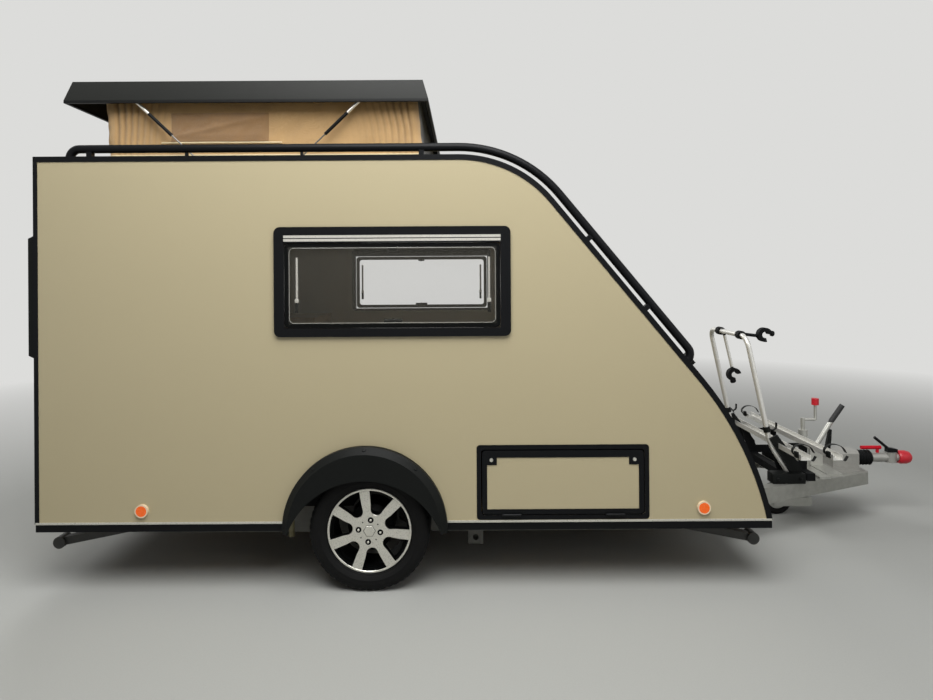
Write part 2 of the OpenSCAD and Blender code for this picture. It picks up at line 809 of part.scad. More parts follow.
// Axle: six-sided tube, trailing arms, stubs and brake plates
tyre_y = track / 2;
tube_half = 798;
arm_y = 760;
arm_t = 36;
arm_r = 44;
stub_r = 20;
stub_out = tyre_y + 20;
plate_r = 125;
brake_gap = 8;
brake_plate_t = 6;
brake_plate_y = tyre_y - 120;
saddle_w = 120;
saddle_t = notch_top - tube_z;
module axle_beam() color(zinc) {
    y_bar_hex();
    for (s = [-1, 1])
        box([tube_x - saddle_w / 2, s * member_y - member_w / 2, tube_z],
            [saddle_w, member_w, saddle_t]);
    both_sides() {
        hull() {
            y_bar(tube_x, tube_z, arm_r, -arm_y - arm_t, arm_t);
            y_bar(x_axle, tyre_r, arm_r, -arm_y - arm_t, arm_t);
        }
        y_bar(x_axle, tyre_r, stub_r, -stub_out, stub_out - arm_y);
        y_bar(x_axle, tyre_r, plate_r, -brake_plate_y, brake_plate_t);
    }
}
module y_bar_hex() {
    translate([tube_x, tube_half, tube_z]) rotate([90, 0, 0])
        cylinder(r = tube_r, h = 2 * tube_half, $fn = 6);
}

// Brackets for the jack and for the corner steadies
jack_x = x_rear + 2159;
jack_w = 80;
jack_h = 70;
jack_hole_r = 16;
steady_y = 880;
steady_x_front = x_front - 470;
steady_x_rear = x_rear + 470;
steady_z = 290;
steady_w = 44;
steady_foot_z = 205;
steady_foot_r = 30;
steady_foot_w = 70;
steady_arm_r = 20;
steady_pin_r = 8;
cheek_t = 5;
cheek_w = 70;
cheek_drop = 22;
module under_brackets() color(zinc) {
    both_sides() {
        difference() {
            box([jack_x - jack_w / 2, -member_y - member_w / 2, member_z - jack_h],
                [jack_w, member_w, jack_h]);
            y_bar(jack_x, member_z - jack_h / 2, jack_hole_r, -member_y - member_w, 2 * member_w);
        }
        for (x = [steady_x_front, steady_x_rear]) {
            for (s = [-1, 1])
                box([x - cheek_w / 2,
                    -steady_y + s * (steady_w / 2 + leaf_gap + cheek_t / 2) - cheek_t / 2,
                    steady_z - cheek_drop],
                    [cheek_w, cheek_t, panel_foot - steady_z + cheek_drop]);
            y_bar(x, steady_z, steady_pin_r, -steady_y - steady_w / 2 - leaf_gap - cheek_t,
                steady_w + 2 * (leaf_gap + cheek_t));
        }
    }
}
// A corner steady drawn from its pivot towards +X
module steady() {
    difference() {
        union() {
            hull() {
                y_bar(0, 0, steady_arm_r, -steady_w / 2, steady_w);
                y_bar(steady_length, steady_foot_z - steady_z, steady_arm_r, -steady_w / 2, steady_w);
            }
            y_bar(steady_length, steady_foot_z - steady_z, steady_foot_r, -steady_foot_w / 2,
                steady_foot_w);
        }
        y_bar(0, 0, steady_pin_r + pin_play, -steady_w, 2 * steady_w);
    }
}
module steady_front_right() color(zinc) translate([steady_x_front, -steady_y, steady_z]) steady();
module steady_front_left() color(zinc) translate([steady_x_front, steady_y, steady_z]) steady();
module steady_rear_right() color(zinc)
    translate([steady_x_rear, -steady_y, steady_z]) mirror([1, 0, 0]) steady();
module steady_rear_left() color(zinc)
    translate([steady_x_rear, steady_y, steady_z]) mirror([1, 0, 0]) steady();

// Wheels
tyre_bead_r = 192;
bead_half = 76;
flange_half = 84;
barrel_r = 182;
disc_face = 78;
disc_back = 48;
hub_r = 66;
pocket_in = 98;
pocket_end_r = 17;
pocket_out = 174;
pocket_half_deg = 0.34 * 360 / spokes;
spoke_lead_deg = 97;
bolt_circle = 50;
bolt_r = 11;
bolts = 4;
bolt_depth = 14;
cap_r = 31;
cap_h = 8;
drum_r = 115;
drum_in = tyre_y - brake_plate_y - brake_gap;
function pocket() = concat(
    [for (i = [-3:3]) pocket_out * [cos(pocket_half_deg * i / 3), sin(pocket_half_deg * i / 3)]],
    [for (i = [0:6]) [pocket_in, 0] + pocket_end_r * [cos(90 + 30 * i), sin(90 + 30 * i)]]);
// Draws a wheel piece in place, its axis along Z with the outside up
module wheel_place() {
    translate([x_axle, -tyre_y, tyre_r]) rotate([90, 0, 0]) children();
}
module tyre() color(dark) {
    h = tyre_w / 2;
    wheel_place() rotate_extrude() polygon([
        [tyre_bead_r, -bead_half], [rim_r, -bead_half], [rim_r + 4 * seat_gap, 4 * seat_gap - flange_half],
        [0.76 * tyre_r, -0.95 * h], [0.85 * tyre_r, -h], [0.93 * tyre_r, -0.97 * h],
        [0.98 * tyre_r, -0.88 * h], [tyre_r, -0.74 * h], [tyre_r, 0.74 * h],
        [0.98 * tyre_r, 0.88 * h], [0.93 * tyre_r, 0.97 * h], [0.85 * tyre_r, h],
        [0.76 * tyre_r, 0.95 * h], [rim_r + 4 * seat_gap, flange_half - 4 * seat_gap], [rim_r, bead_half],
        [tyre_bead_r, bead_half]]);
}
module wheel() color(silver) {
    wheel_place() difference() {
        union() {
            rotate_extrude() polygon([
                [barrel_r, -flange_half], [rim_r - seat_gap, -flange_half],
                [rim_r - seat_gap, -bead_half - seat_gap], [tyre_bead_r - seat_gap, -bead_half - seat_gap],
                [tyre_bead_r - seat_gap, bead_half + seat_gap], [rim_r - seat_gap, bead_half + seat_gap],
                [rim_r - seat_gap, flange_half], [barrel_r, flange_half]]);
            translate([0, 0, disc_back]) cylinder(r = barrel_r + seat_gap, h = disc_face - disc_back);
            translate([0, 0, disc_face - cap_h]) cylinder(r = cap_r, h = 2 * cap_h);
            translate([0, 0, -drum_in]) cylinder(r = hub_r, h = drum_in + disc_face - cap_h);
            translate([0, 0, -drum_in]) cylinder(r = drum_r, h = drum_in);
        }
        for (i = [0:spokes - 1])
            rotate([0, 0, spoke_lead_deg + (i + 0.5) * 360 / spokes])
                translate([0, 0, disc_back - over])
                    linear_extrude(disc_face - disc_back + 2 * over) polygon(pocket());
        for (i = [0:bolts - 1])
            rotate([0, 0, 45 + i * 360 / bolts])
                translate([bolt_circle, 0, disc_face - bolt_depth])
                    cylinder(r = bolt_r, h = bolt_depth + over);
        translate([0, 0, -drum_in - over])
            cylinder(r = stub_r + pin_play, h = drum_in + over + stub_out - tyre_y + over);
    }
}
module tyre_right() tyre();
module wheel_right() wheel();
module tyre_left() mirror([0, 1, 0]) tyre();
module wheel_left() mirror([0, 1, 0]) wheel();

// Drawbar fittings
housing_x = x_nose - 536;
housing_l = 169;
housing_w = 124;
housing_h = 115;
housing_plate_w = 300;
housing_plate_t = 12;
housing_edge = 18;
end_plate_t = 12;
module overrun_housing() color(zinc) {
    box([housing_x - housing_edge, -housing_plate_w / 2, drawbar_top],
        [housing_l + housing_edge, housing_plate_w, housing_plate_t]);
    yz_plate(housing_x, housing_l) polygon([
        [-housing_w / 2, drawbar_top], [housing_w / 2, drawbar_top],
        [housing_w / 2, drawbar_top + housing_h - housing_edge],
        [housing_w / 2 - housing_edge, drawbar_top + housing_h],
        [-housing_w / 2 + housing_edge, drawbar_top + housing_h],
        [-housing_w / 2, drawbar_top + housing_h - housing_edge]]);
}
gaiter_x = housing_x + housing_l;
gaiter_l = 106;
gaiter_r = 48;
gaiter_waist = 38;
gaiter_ribs = 5;
gaiter_bore = 31;
module gaiter() color(dark) {
    pitch = gaiter_l / gaiter_ribs;
    translate([gaiter_x, 0, coupling_z]) rotate([0, 90, 0]) rotate_extrude() polygon(concat(
        [[0, 0]],
        [for (i = [0:gaiter_ribs - 1]) for (p = [[gaiter_waist, 0], [gaiter_r, 0.5]])
            [p[0], (i + p[1]) * pitch]],
        [[gaiter_waist, gaiter_l], [0, gaiter_l]]));
}
shaft_x = gaiter_x + gaiter_l;
socket_x = x_nose - 131;
shaft_r = 30;
head_r = 38;
head_up = 34;
head_down = 30;
neck_r = 26;
pad_l = 85;
pad_r = 42;
socket_len = 42;
module coupling_head() color(silver) {
    difference() {
        union() {
            x_bar(0, coupling_z, shaft_r, shaft_x, socket_x - shaft_x);
            translate([socket_x, 0, coupling_z - head_down]) cylinder(r = head_r, h = head_up + head_down);
            x_bar(0, coupling_z, neck_r, socket_x, x_nose - pad_l - socket_x);
        }
        translate([socket_x, 0, coupling_z - head_down - over])
            cylinder(r = socket_r, h = socket_len + over);
    }
}
module nose_pad() color(red) {
    translate([x_nose - pad_l, 0, coupling_z]) rotate([0, 90, 0]) rotate_extrude() polygon([
        [0, 0], [0.85 * pad_r, 0], [pad_r, 0.15 * pad_l], [pad_r, 0.6 * pad_l],
        [0.86 * pad_r, 0.85 * pad_l], [0.55 * pad_r, pad_l], [0, pad_l]]);
}
lever_t = 18;
release_bar = [[socket_x - 9, 393], [socket_x - 100, 487]];
lever_pad = [[socket_x - 24, 392], [socket_x + 40, 392], [socket_x + 40, 412], [socket_x - 4, 421],
    [socket_x - 24, 421]];
red_lever_r = 12;
red_lever_z = coupling_z + gaiter_r + red_lever_r + 3;
red_lever_x0 = shaft_x - 58;
red_lever_l = 127;
red_lever_post = 14;
red_lever_y = 20;
module coupling_levers() color(dark) {
    xz_plate(-lever_t, 2 * lever_t) polygon(lever_pad);
    rod_between([release_bar[0][0], 0, release_bar[0][1] + lever_t],
        [release_bar[1][0], 0, release_bar[1][1]], lever_t / 2);
    x_bar(0, red_lever_z, red_lever_r, red_lever_x0, red_lever_l);
    box([red_lever_x0 + red_lever_l - 2 * red_lever_post, -red_lever_post / 2, coupling_z + shaft_r],
        [red_lever_post, red_lever_post, red_lever_z - coupling_z - shaft_r]);
}
brake_foot = [x_nose - 614, 445];
brake_knee = [x_nose - 510, 594];
brake_tip = [x_nose - 438, 696];
brake_t = 24;
brake_r = 15;
brake_plate_w = 100;
module handbrake_lever() color(dark) {
    box([housing_x - housing_edge - brake_plate_w, -housing_plate_w / 3 * 2, drawbar_top],
        [brake_plate_w, housing_plate_w / 3 * 4, housing_plate_t]);
    box([housing_x - housing_edge - brake_plate_w, -brake_t / 2, drawbar_top],
        [brake_plate_w - housing_edge, brake_t, brake_foot[1] - drawbar_top]);
    rod_between([brake_foot[0], 0, brake_foot[1] - brake_r], [brake_knee[0], 0, brake_knee[1]], brake_r);
    rod_between([brake_knee[0], 0, brake_knee[1]], [brake_tip[0], 0, brake_tip[1]], 1.1 * brake_r);
}

// Jockey wheel
jockey_x = x_nose - 695;
jockey_tube_r = 28;
fork_tube_r = 24.9;
jockey_tube_in = fork_tube_r + pin_play;
jockey_tube_foot = 215;
jockey_tube_top = 540;
jockey_plate_l = 70;
jockey_plate_half = 262;
jockey_clamp_r = 40;
jockey_clamp_h = 60;
module jockey_tube() color(zinc) {
    difference() {
        union() {
            translate([jockey_x, 0, jockey_tube_foot])
                cylinder(r = jockey_tube_r, h = jockey_tube_top - jockey_tube_foot);
            translate([jockey_x, 0, drawbar_top]) cylinder(r = jockey_clamp_r, h = jockey_clamp_h);
            box([jockey_x - jockey_plate_l / 2, -jockey_plate_half, drawbar_top],
                [jockey_plate_l, 2 * jockey_plate_half, housing_plate_t]);
        }
        translate([jockey_x, 0, jockey_tube_foot - over])
            cylinder(r = jockey_tube_in, h = jockey_tube_top - jockey_tube_foot - jockey_clamp_r);
    }
}
crank_r = 9;
crank_z = 615;
crank_reach = 81;
crank_knob_r = 22;
crank_knob_z = 700;
crank_knob_h = 42;
module jockey_crank() color(zinc) {
    translate([jockey_x, 0, jockey_tube_top]) cylinder(r = 1.5 * crank_r, h = crank_z - jockey_tube_top);
    x_bar(0, crank_z - crank_r, crank_r, jockey_x, crank_reach);
    translate([jockey_x + crank_reach, 0, crank_z - 2 * crank_r])
        cylinder(r = crank_r, h = crank_knob_z - crank_z + 2 * crank_r);
    translate([jockey_x + crank_reach, 0, crank_knob_z]) cylinder(r = crank_knob_r, h = crank_knob_h);
}
fork_tube_top = 420;
fork_foot = 57;
fork_top = 111;
fork_in = 36;
fork_skin = 5;
fork_back = 26;
fork_bridge = 72;
jockey_w = 60;
jockey_pin_r = 9;
module jockey_fork() color(zinc) {
    translate([jockey_x, 0, fork_top - fork_skin]) cylinder(r = fork_tube_r, h = fork_tube_top - fork_top);
    box([jockey_x - fork_bridge / 2, -fork_in - fork_skin, fork_top - fork_skin],
        [fork_bridge, 2 * (fork_in + fork_skin), fork_skin]);
    both_sides()
        box([jockey_x - jockey_trail - fork_back, -fork_in - fork_skin, fork_foot],
            [jockey_trail + fork_back + fork_bridge / 2, fork_skin, fork_top - fork_foot]);
    y_bar(jockey_x - jockey_trail, jockey_r, jockey_pin_r, -fork_in - fork_skin, 2 * (fork_in + fork_skin));
}
module jockey_wheel() color(dark) {
    translate([jockey_x - jockey_trail, jockey_w / 2, jockey_r]) rotate([90, 0, 0]) difference() {
        rotate_extrude() polygon([
            [0, 0.1 * jockey_w], [0.6 * jockey_r, 0.1 * jockey_w], [0.66 * jockey_r, 0],
            [0.86 * jockey_r, 0], [jockey_r, 0.22 * jockey_w], [jockey_r, 0.78 * jockey_w],
            [0.86 * jockey_r, jockey_w], [0.66 * jockey_r, jockey_w],
            [0.6 * jockey_r, 0.9 * jockey_w], [0, 0.9 * jockey_w]]);
        translate([0, 0, -over]) cylinder(r = jockey_pin_r + pin_play, h = jockey_w + 2 * over);
    }
}

// Inside: bed, mattress and cabinets
bed_x = x_rear + 2144;
bed_z = 742;
board_t = 18;
mattress_h = 140;
room_gap = 2;
cabinet_x = x_rear + wall_t + room_gap;
cabinet_l = 1000;
cabinet_w = 580;
cabinet_h = 876;
module bed_base() color(timber) {
    w = 2 * inner_half;
    box([bed_x, -inner_half, floor_top], [board_t, w, bed_z - floor_top + board_t]);
    xz_plate(-inner_half, w) polygon([[bed_x, bed_z], [toe_x(bed_z, wall_t + fit_gap), bed_z],
        [toe_x(bed_z + board_t, wall_t + fit_gap), bed_z + board_t], [bed_x, bed_z + board_t]]);
}
module mattress() color(cloth) {
    z = bed_z + board_t;
    xz_plate(-inner_half + room_gap, 2 * (inner_half - room_gap)) polygon([
        [bed_x, z], [toe_x(z, wall_t) - room_gap, z],
        [toe_x(z + mattress_h, wall_t) - room_gap, z + mattress_h], [bed_x, z + mattress_h]]);
}
module cabinets() color(timber) {
    both_sides() difference() {
        box([cabinet_x, -inner_half, floor_top], [cabinet_l, cabinet_w, cabinet_h]);
        box([cabinet_x + board_t, -inner_half - over, floor_top + board_t],
            [cabinet_l - 2 * board_t, cabinet_w - board_t + over, cabinet_h - 2 * board_t]);
    }
}

// Bicycle carrier
rack_beam_w = 50;
rack_beam_h = 45;
hoop_r = 15;
hoop_lean = 12;
hoop_kick = 32;
hoop_bend = 300;
hoop_corner = 70;
hoop_knee = [x_nose - 1056, 575];
hoop_arm = (hoop_top - hoop_knee[1]) / cos(hoop_lean);
hoop_bend_x = hoop_bend * (cos(hoop_lean) - cos(hoop_kick));
hoop_bend_z = hoop_bend * (sin(hoop_kick) - sin(hoop_lean));
hoop_foot = [hoop_knee[0] + hoop_bend_x, hoop_knee[1] - hoop_bend_z];
rack_beam_top = drawbar_top + rack_beam_h;
hoop_leg = (hoop_foot[1] - rack_beam_top) / cos(hoop_kick) - hoop_r * tan(hoop_kick);
rack_x = [x_nose - 934, x_nose - 801];
rack_beam_half = [350, 300];
rail_x = [x_nose - 981, x_nose - 801];
rail_w = 56;
rail_h = 30;
rail_skin = 4;
plate_y_rack = 200;
plate_rack_t = 8;
leg_block = 46;
leg_block_h = 60;
module rack_base() color(dark) {
    for (i = [0, 1])
        box([rack_x[i] - rack_beam_w / 2, -rack_beam_half[i], drawbar_top],
            [rack_beam_w, 2 * rack_beam_half[i], rack_beam_h]);
    for (s = [-1, 1])
        xz_plate(s * plate_y_rack - plate_rack_t / 2, plate_rack_t) difference() {
            polygon([[rack_x[0] - rack_beam_w / 2, rack_beam_top - over],
                [rack_x[1] + rack_beam_w / 2, rack_beam_top - over],
                [rail_x[1] + rail_w / 2, rail_top - rail_h], [rail_x[0] - rail_w / 2, rail_top - rail_h]]);
            polygon([[rack_x[0] + leg_block / 2, rack_beam_top + leg_block],
                [rack_x[1] - leg_block / 2, rack_beam_top + leg_block],
                [rail_x[1] - leg_block / 2, rail_top - rail_h - leg_block / 2],
                [rail_x[0] + leg_block / 2, rail_top - rail_h - leg_block / 2]]);
        }
}
module rack_rails() color(silver) {
    for (x = rail_x) difference() {
        box([x - rail_w / 2, -rail_length / 2, rail_top - rail_h], [rail_w, rail_length, rail_h]);
        box([x - rail_w / 2 + rail_skin, -rail_length / 2 - over, rail_top - rail_h + rail_skin],
            [rail_w - 2 * rail_skin, rail_length + 2 * over, rail_h]);
    }
}
hoop_steps = 8;
hoop_up = [-sin(hoop_lean), 0, cos(hoop_lean)];
// One half of the hoop's path, from a foot to the middle of the top bar
function hoop_half() =
    let (half = hoop_width / 2, knee = [hoop_knee[0], -half, hoop_knee[1]],
        foot = [hoop_foot[0], -half, hoop_foot[1]],
        corner = knee + (hoop_arm - hoop_corner) * hoop_up + [0, hoop_corner, 0])
    concat(
        [foot + hoop_leg * [sin(hoop_kick), 0, -cos(hoop_kick)]],
        [for (i = [0:hoop_steps]) let (a = hoop_kick + (hoop_lean - hoop_kick) * i / hoop_steps)
            knee + hoop_bend * [cos(hoop_lean) - cos(a), 0, sin(hoop_lean) - sin(a)]],
        [for (i = [0:hoop_steps]) let (a = 90 * i / hoop_steps)
            corner + hoop_corner * (sin(a) * hoop_up - [0, cos(a), 0])]);
module rack_hoop() color(silver) {
    half = hoop_half();
    n = len(half) - 1;
    tube_along(concat(half, [for (i = [0:n]) [half[n - i][0], -half[n - i][1], half[n - i][2]]]),
        hoop_r, [0, 1, 0]);
}
clamp_r = 26;
clamp_w = 46;
clamp_y = [115, -205];
claw_r = 34;
claw_w = 40;
claw_in = 20;
claw_drop = 270;
claw_reach = 110;
claw_arm_r = 10;
module rack_clamps() color(dark) {
    translate([hoop_knee[0], 0, hoop_knee[1]]) rotate([0, -hoop_lean, 0]) translate([0, 0, hoop_arm]) {
        difference() {
            union() {
                for (y = clamp_y)
                    y_bar(0, 0, clamp_r, y - clamp_w / 2, clamp_w);
                rod_between([clamp_r - 4, clamp_y[0], 0], [clamp_r, clamp_y[0], -claw_drop], claw_arm_r);
                rod_between([clamp_r - 4, clamp_y[1], 0], [claw_reach, clamp_y[1], -30], claw_arm_r);
            }
            y_bar(0, 0, hoop_r + seat_gap, -hoop_width / 2, hoop_width);
        }
        for (p = [[clamp_r, clamp_y[0], -claw_drop - claw_r], [claw_reach + claw_r, clamp_y[1], -30]])
            translate(p) difference() {
                y_bar(0, 0, claw_r + claw_arm_r, -claw_w / 2, claw_w);
                y_bar(0, 0, claw_in, -claw_w, 2 * claw_w);
                box([0, -claw_w, -3 * claw_r], [3 * claw_r, 2 * claw_w, 3 * claw_r]);
            }
    }
}

floor_panel();
side_wall_right();
side_wall_left();
rear_wall();
roof_panel();
nose_panel();
edge_trims();
skirts();
roof_rails();
wheel_arches();
wheel_boxes();
window_frames();
window_panes();
locker_frame();
lamp_housings();
lamp_lenses();
side_markers();
plate_holder();
hatch_frame();
tent();
chassis_members();
cross_members();
drawbar_members();
axle_beam();
under_brackets();
overrun_housing();
gaiter();
coupling_head();
coupling_levers();
nose_pad();
handbrake_lever();
jockey_tube();
jockey_crank();
bed_base();
mattress();
cabinets();
rack_base();
rack_rails();
rack_hoop();
rack_clamps();
tyre_right();
wheel_right();
tyre_left();
wheel_left();
rear_door();
rear_door_pane();
locker_door();
locker_panel();
roof_lid();
strut_tubes_rear();
strut_rods_rear();
strut_tubes_front();
strut_rods_front();
jockey_fork();
jockey_wheel();
steady_front_right();
steady_front_left();
steady_rear_right();
steady_rear_left();
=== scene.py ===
"""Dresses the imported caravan: materials, cloth, tyres and small fittings, a camera and a plain studio."""
from math import cos, exp, pi, radians, sin, sqrt

import bmesh
import bpy
from mathutils import Matrix, Vector, noise as lattice


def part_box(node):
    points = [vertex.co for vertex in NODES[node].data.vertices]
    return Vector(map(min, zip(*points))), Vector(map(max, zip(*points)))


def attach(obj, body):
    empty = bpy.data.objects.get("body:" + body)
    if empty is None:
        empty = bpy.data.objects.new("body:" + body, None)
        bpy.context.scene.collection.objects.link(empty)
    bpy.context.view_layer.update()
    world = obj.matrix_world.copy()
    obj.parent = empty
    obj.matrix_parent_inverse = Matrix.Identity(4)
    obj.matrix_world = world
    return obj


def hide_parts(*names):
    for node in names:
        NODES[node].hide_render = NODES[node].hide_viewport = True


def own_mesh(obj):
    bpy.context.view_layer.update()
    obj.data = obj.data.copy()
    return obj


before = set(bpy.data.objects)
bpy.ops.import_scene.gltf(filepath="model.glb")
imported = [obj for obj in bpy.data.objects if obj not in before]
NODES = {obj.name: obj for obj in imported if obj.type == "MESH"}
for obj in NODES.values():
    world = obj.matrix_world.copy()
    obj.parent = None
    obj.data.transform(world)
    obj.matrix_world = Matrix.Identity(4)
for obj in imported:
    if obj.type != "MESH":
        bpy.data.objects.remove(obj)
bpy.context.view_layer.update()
ROOT = "caravan"
X, Y, Z = Vector((1, 0, 0)), Vector((0, 1, 0)), Vector((0, 0, 1))

# The photograph's frame in pixels, and the camera that was found from it
IMAGE_W, IMAGE_H = 933, 700
FOCAL_PX = 647
HORIZON_PX = 277
SENSOR_MM = 36
CAMERA_AT = (-0.346, -4.2, 1.543)
CAMERA_ROLL = radians(0.35)


def make_camera():
    data = bpy.data.cameras.new("camera")
    data.sensor_width = SENSOR_MM
    data.lens = FOCAL_PX * SENSOR_MM / IMAGE_W
    data.shift_y = (HORIZON_PX - IMAGE_H / 2) / IMAGE_W
    cam = bpy.data.objects.new("camera", data)
    cam.location = CAMERA_AT
    level = Y.to_track_quat("-Z", "Y")
    cam.rotation_euler = (Matrix.Rotation(CAMERA_ROLL, 3, Y) @ level.to_matrix()).to_euler()
    bpy.context.scene.collection.objects.link(cam)
    bpy.context.scene.camera = cam


# Shader nodes

def linear(hex_colour):
    """Linear RGBA of an sRGB colour written as six hex digits."""
    parts = [int(hex_colour[i:i + 2], 16) / 255 for i in (0, 2, 4)]
    return tuple(c / 12.92 if c <= 0.04045 else ((c + 0.055) / 1.055) ** 2.4 for c in parts) + (1.0,)


def shade(rgba, factor):
    return tuple(min(1.0, c * factor) for c in rgba[:3]) + (1.0,)


def feed(nt, socket, value):
    """Sets a socket to a value, or links another socket to it."""
    if isinstance(value, bpy.types.NodeSocket):
        nt.links.new(value, socket)
    else:
        socket.default_value = value


def settle(nt, n, **values):
    """Feeds inputs of a node by their names, with _ for a space."""
    for name, value in values.items():
        feed(nt, n.inputs[name.replace("_", " ")], value)
    return n


def node(nt, kind, **values):
    return settle(nt, nt.nodes.new("ShaderNode" + kind), **values)


def calc(nt, operation, a, b=0.0):
    n = node(nt, "Math")
    n.operation = operation
    feed(nt, n.inputs[0], a)
    feed(nt, n.inputs[1], b)
    return n.outputs[0]


def mix(nt, factor, a, b):
    n = node(nt, "Mix")
    n.data_type = "RGBA"
    return settle(nt, n, Factor=factor, A=a, B=b).outputs["Result"]


def blend(nt, factor, first, second, target):
    n = node(nt, "MixShader")
    for socket, value in zip(n.inputs, (factor, first.outputs[0], second.outputs[0])):
        nt.links.new(value, socket)
    nt.links.new(n.outputs[0], target)


def span(nt, value, low, high, start=0.0, end=1.0):
    """Maps a value from start to end onto low to high, and holds it there."""
    n = node(nt, "MapRange", Value=value, From_Min=start, From_Max=end, To_Min=low, To_Max=high)
    return n.outputs["Result"]


def place(nt):
    return node(nt, "TexCoord").outputs["Object"]


def axes(nt):
    return node(nt, "SeparateXYZ", Vector=place(nt)).outputs


def speckle(nt, scale, detail=3.0, stretch=(1, 1, 1)):
    at = node(nt, "Mapping", Scale=stretch, Vector=place(nt)).outputs[0]
    return node(nt, "TexNoise", Scale=scale, Detail=detail, Vector=at).outputs["Fac"]


def stripes(nt, scale, direction, distortion=0.0):
    n = node(nt, "TexWave", Scale=scale, Distortion=distortion, Vector=place(nt))
    n.bands_direction = direction
    return n.outputs["Fac"]


def relief(nt, bsdf, height, depth):
    settle(nt, bsdf, Normal=node(nt, "Bump", Distance=depth, Height=height).outputs[0])


def fresh(name):
    mat = bpy.data.materials.new(name)
    mat.use_nodes = True
    return mat, mat.node_tree, mat.node_tree.nodes["Principled BSDF"]


class Finish:
    """One finish: a colour with its spread, its gloss and its fine relief."""

    def __init__(self, colour, rough, metal=0.0, spread=0.06, patch=5.0, grain=350.0, specular=0.5):
        self.colour = linear(colour)
        self.rough, self.metal, self.specular = rough, metal, specular
        self.spread, self.patch, self.grain = spread, patch, grain


FINE_DETAIL, PATCH_DETAIL = 2.0, 4.0
GLOSS_SHARES, GLOSS_SPAN = (0.85, 1.2), (0.3, 0.7)
COAT_ROUGH = 0.12


def surface(name, finish, zones=(), coat=0.0, depth=0.0002):
    """A material in one finish, with other finishes in zones that a function of the place marks."""
    mat, nt, bsdf = fresh(name)
    fine = speckle(nt, finish.grain, FINE_DETAIL)
    for mask, f in [(None, finish)] + list(zones):
        base = mix(nt, speckle(nt, f.patch, PATCH_DETAIL), shade(f.colour, 1 - f.spread),
                   shade(f.colour, 1 + f.spread))
        gloss = span(nt, fine, f.rough * GLOSS_SHARES[0], min(1.0, f.rough * GLOSS_SHARES[1]), *GLOSS_SPAN)
        if mask is None:
            colour, rough, metal = base, gloss, f.metal
            continue
        inside = mask(nt, axes(nt))
        colour = mix(nt, inside, colour, base)
        rough = calc(nt, "ADD", calc(nt, "MULTIPLY", gloss, inside),
                     calc(nt, "MULTIPLY", rough, calc(nt, "SUBTRACT", 1.0, inside)))
        if f.metal != finish.metal:
            metal = span(nt, inside, finish.metal, f.metal)
    settle(nt, bsdf, Base_Color=colour, Roughness=rough, Metallic=metal, Specular_IOR_Level=finish.specular,
           Coat_Weight=coat, Coat_Roughness=COAT_ROUGH)
    relief(nt, bsdf, fine, depth)
    return mat


# Zones: functions that give 1 inside and 0 outside

def above(axis, limit):
    return lambda nt, at: calc(nt, "GREATER_THAN", at[axis], limit)


def below(axis, limit):
    return lambda nt, at: calc(nt, "LESS_THAN", at[axis], limit)


def outside(axis, limit):
    return lambda nt, at: calc(nt, "GREATER_THAN", calc(nt, "ABSOLUTE", at[axis]), limit)


def within(axis, limit):
    return lambda nt, at: calc(nt, "LESS_THAN", calc(nt, "ABSOLUTE", at[axis]), limit)


def both(first, second):
    return lambda nt, at: calc(nt, "MULTIPLY", first(nt, at), second(nt, at))


def between(axis, low, high):
    return both(above(axis, low), below(axis, high))


def distance_from(nt, at, centre, used):
    total = None
    for i in used:
        step = calc(nt, "SUBTRACT", at[i], centre[i])
        square = calc(nt, "MULTIPLY", step, step)
        total = square if total is None else calc(nt, "ADD", total, square)
    return calc(nt, "SQRT", total)


def nearer(centre, used, limit):
    return lambda nt, at: calc(nt, "LESS_THAN", distance_from(nt, at, centre, used), limit)


# Finishes
SAND = Finish("ABA081", 0.32, spread=0.015, patch=1.2, grain=900.0, specular=0.35)
LINING = Finish("CFCBC0", 0.6)
BLACK_SATIN = Finish("0C0D0F", 0.38, spread=0.12, specular=0.12)
BLACK_MATT = Finish("0D0E0F", 0.62, spread=0.15, grain=700.0, specular=0.1)
BLACK_GRAINED = Finish("0C0E0D", 0.5, spread=0.12, grain=520.0, specular=0.14)
WELL_BLACK = Finish("060707", 0.45, spread=0.12, specular=0.08)
LID_GREY = Finish("20211F", 0.45, spread=0.05, grain=600.0, specular=0.15)
LIP_BLACK = Finish("0B0C0C", 0.5, spread=0.08, specular=0.12)
SMOKED = Finish("1C1F22", 0.08, spread=0.05, patch=2.0)
ZINC = Finish("B0B0AA", 0.42, metal=0.75, spread=0.12, patch=28.0)
# Dull galvanised steel, darkened as painted shade for the parts under the floor
DULL_SHADED_ZINC = Finish("5E5E5A", 0.6, metal=0.4, spread=0.2, patch=22.0)
# Galvanised steel darkened as painted shade, for the steadies in the shade under the caravan
SHADED_STEADY_ZINC = Finish("383836", 0.6, metal=0.4, spread=0.2, patch=22.0)
CAST = Finish("9A9994", 0.46, metal=0.6, spread=0.14, patch=40.0)
BRIGHT = Finish("D6D4CB", 0.3, metal=0.85, spread=0.04, patch=12.0)
ROD_GREY = Finish("6E6D6A", 0.3, metal=0.6, spread=0.05)
ANODISED = Finish("DAD9D4", 0.34, metal=0.6, spread=0.05, patch=9.0)
DRAWBAR_ZINC = Finish("94948E", 0.48, metal=0.6, spread=0.2, patch=26.0)
RED = Finish("B81626", 0.42, spread=0.1, patch=40.0)
AMBER = Finish("FF6604", 0.25, spread=0.06, patch=60.0)
LAMP_RED = Finish("A80F16", 0.16, spread=0.08, patch=60.0)
CREAM = Finish("E0C9A8", 0.4, spread=0.03)
KHAKI = Finish("6A6446", 0.55, spread=0.12, patch=30.0)
TIMBER = Finish("B99B70", 0.45, spread=0.14, patch=9.0)
RUBBER = Finish("0B0B0B", 0.66, spread=0.2, patch=30.0, grain=480.0, specular=0.15)
# A pale grey for the wire along each window pane's bevel: a painted highlight
PAINTED_BEVEL_HIGHLIGHT = Finish("8E8D86", 0.25, spread=0.04)

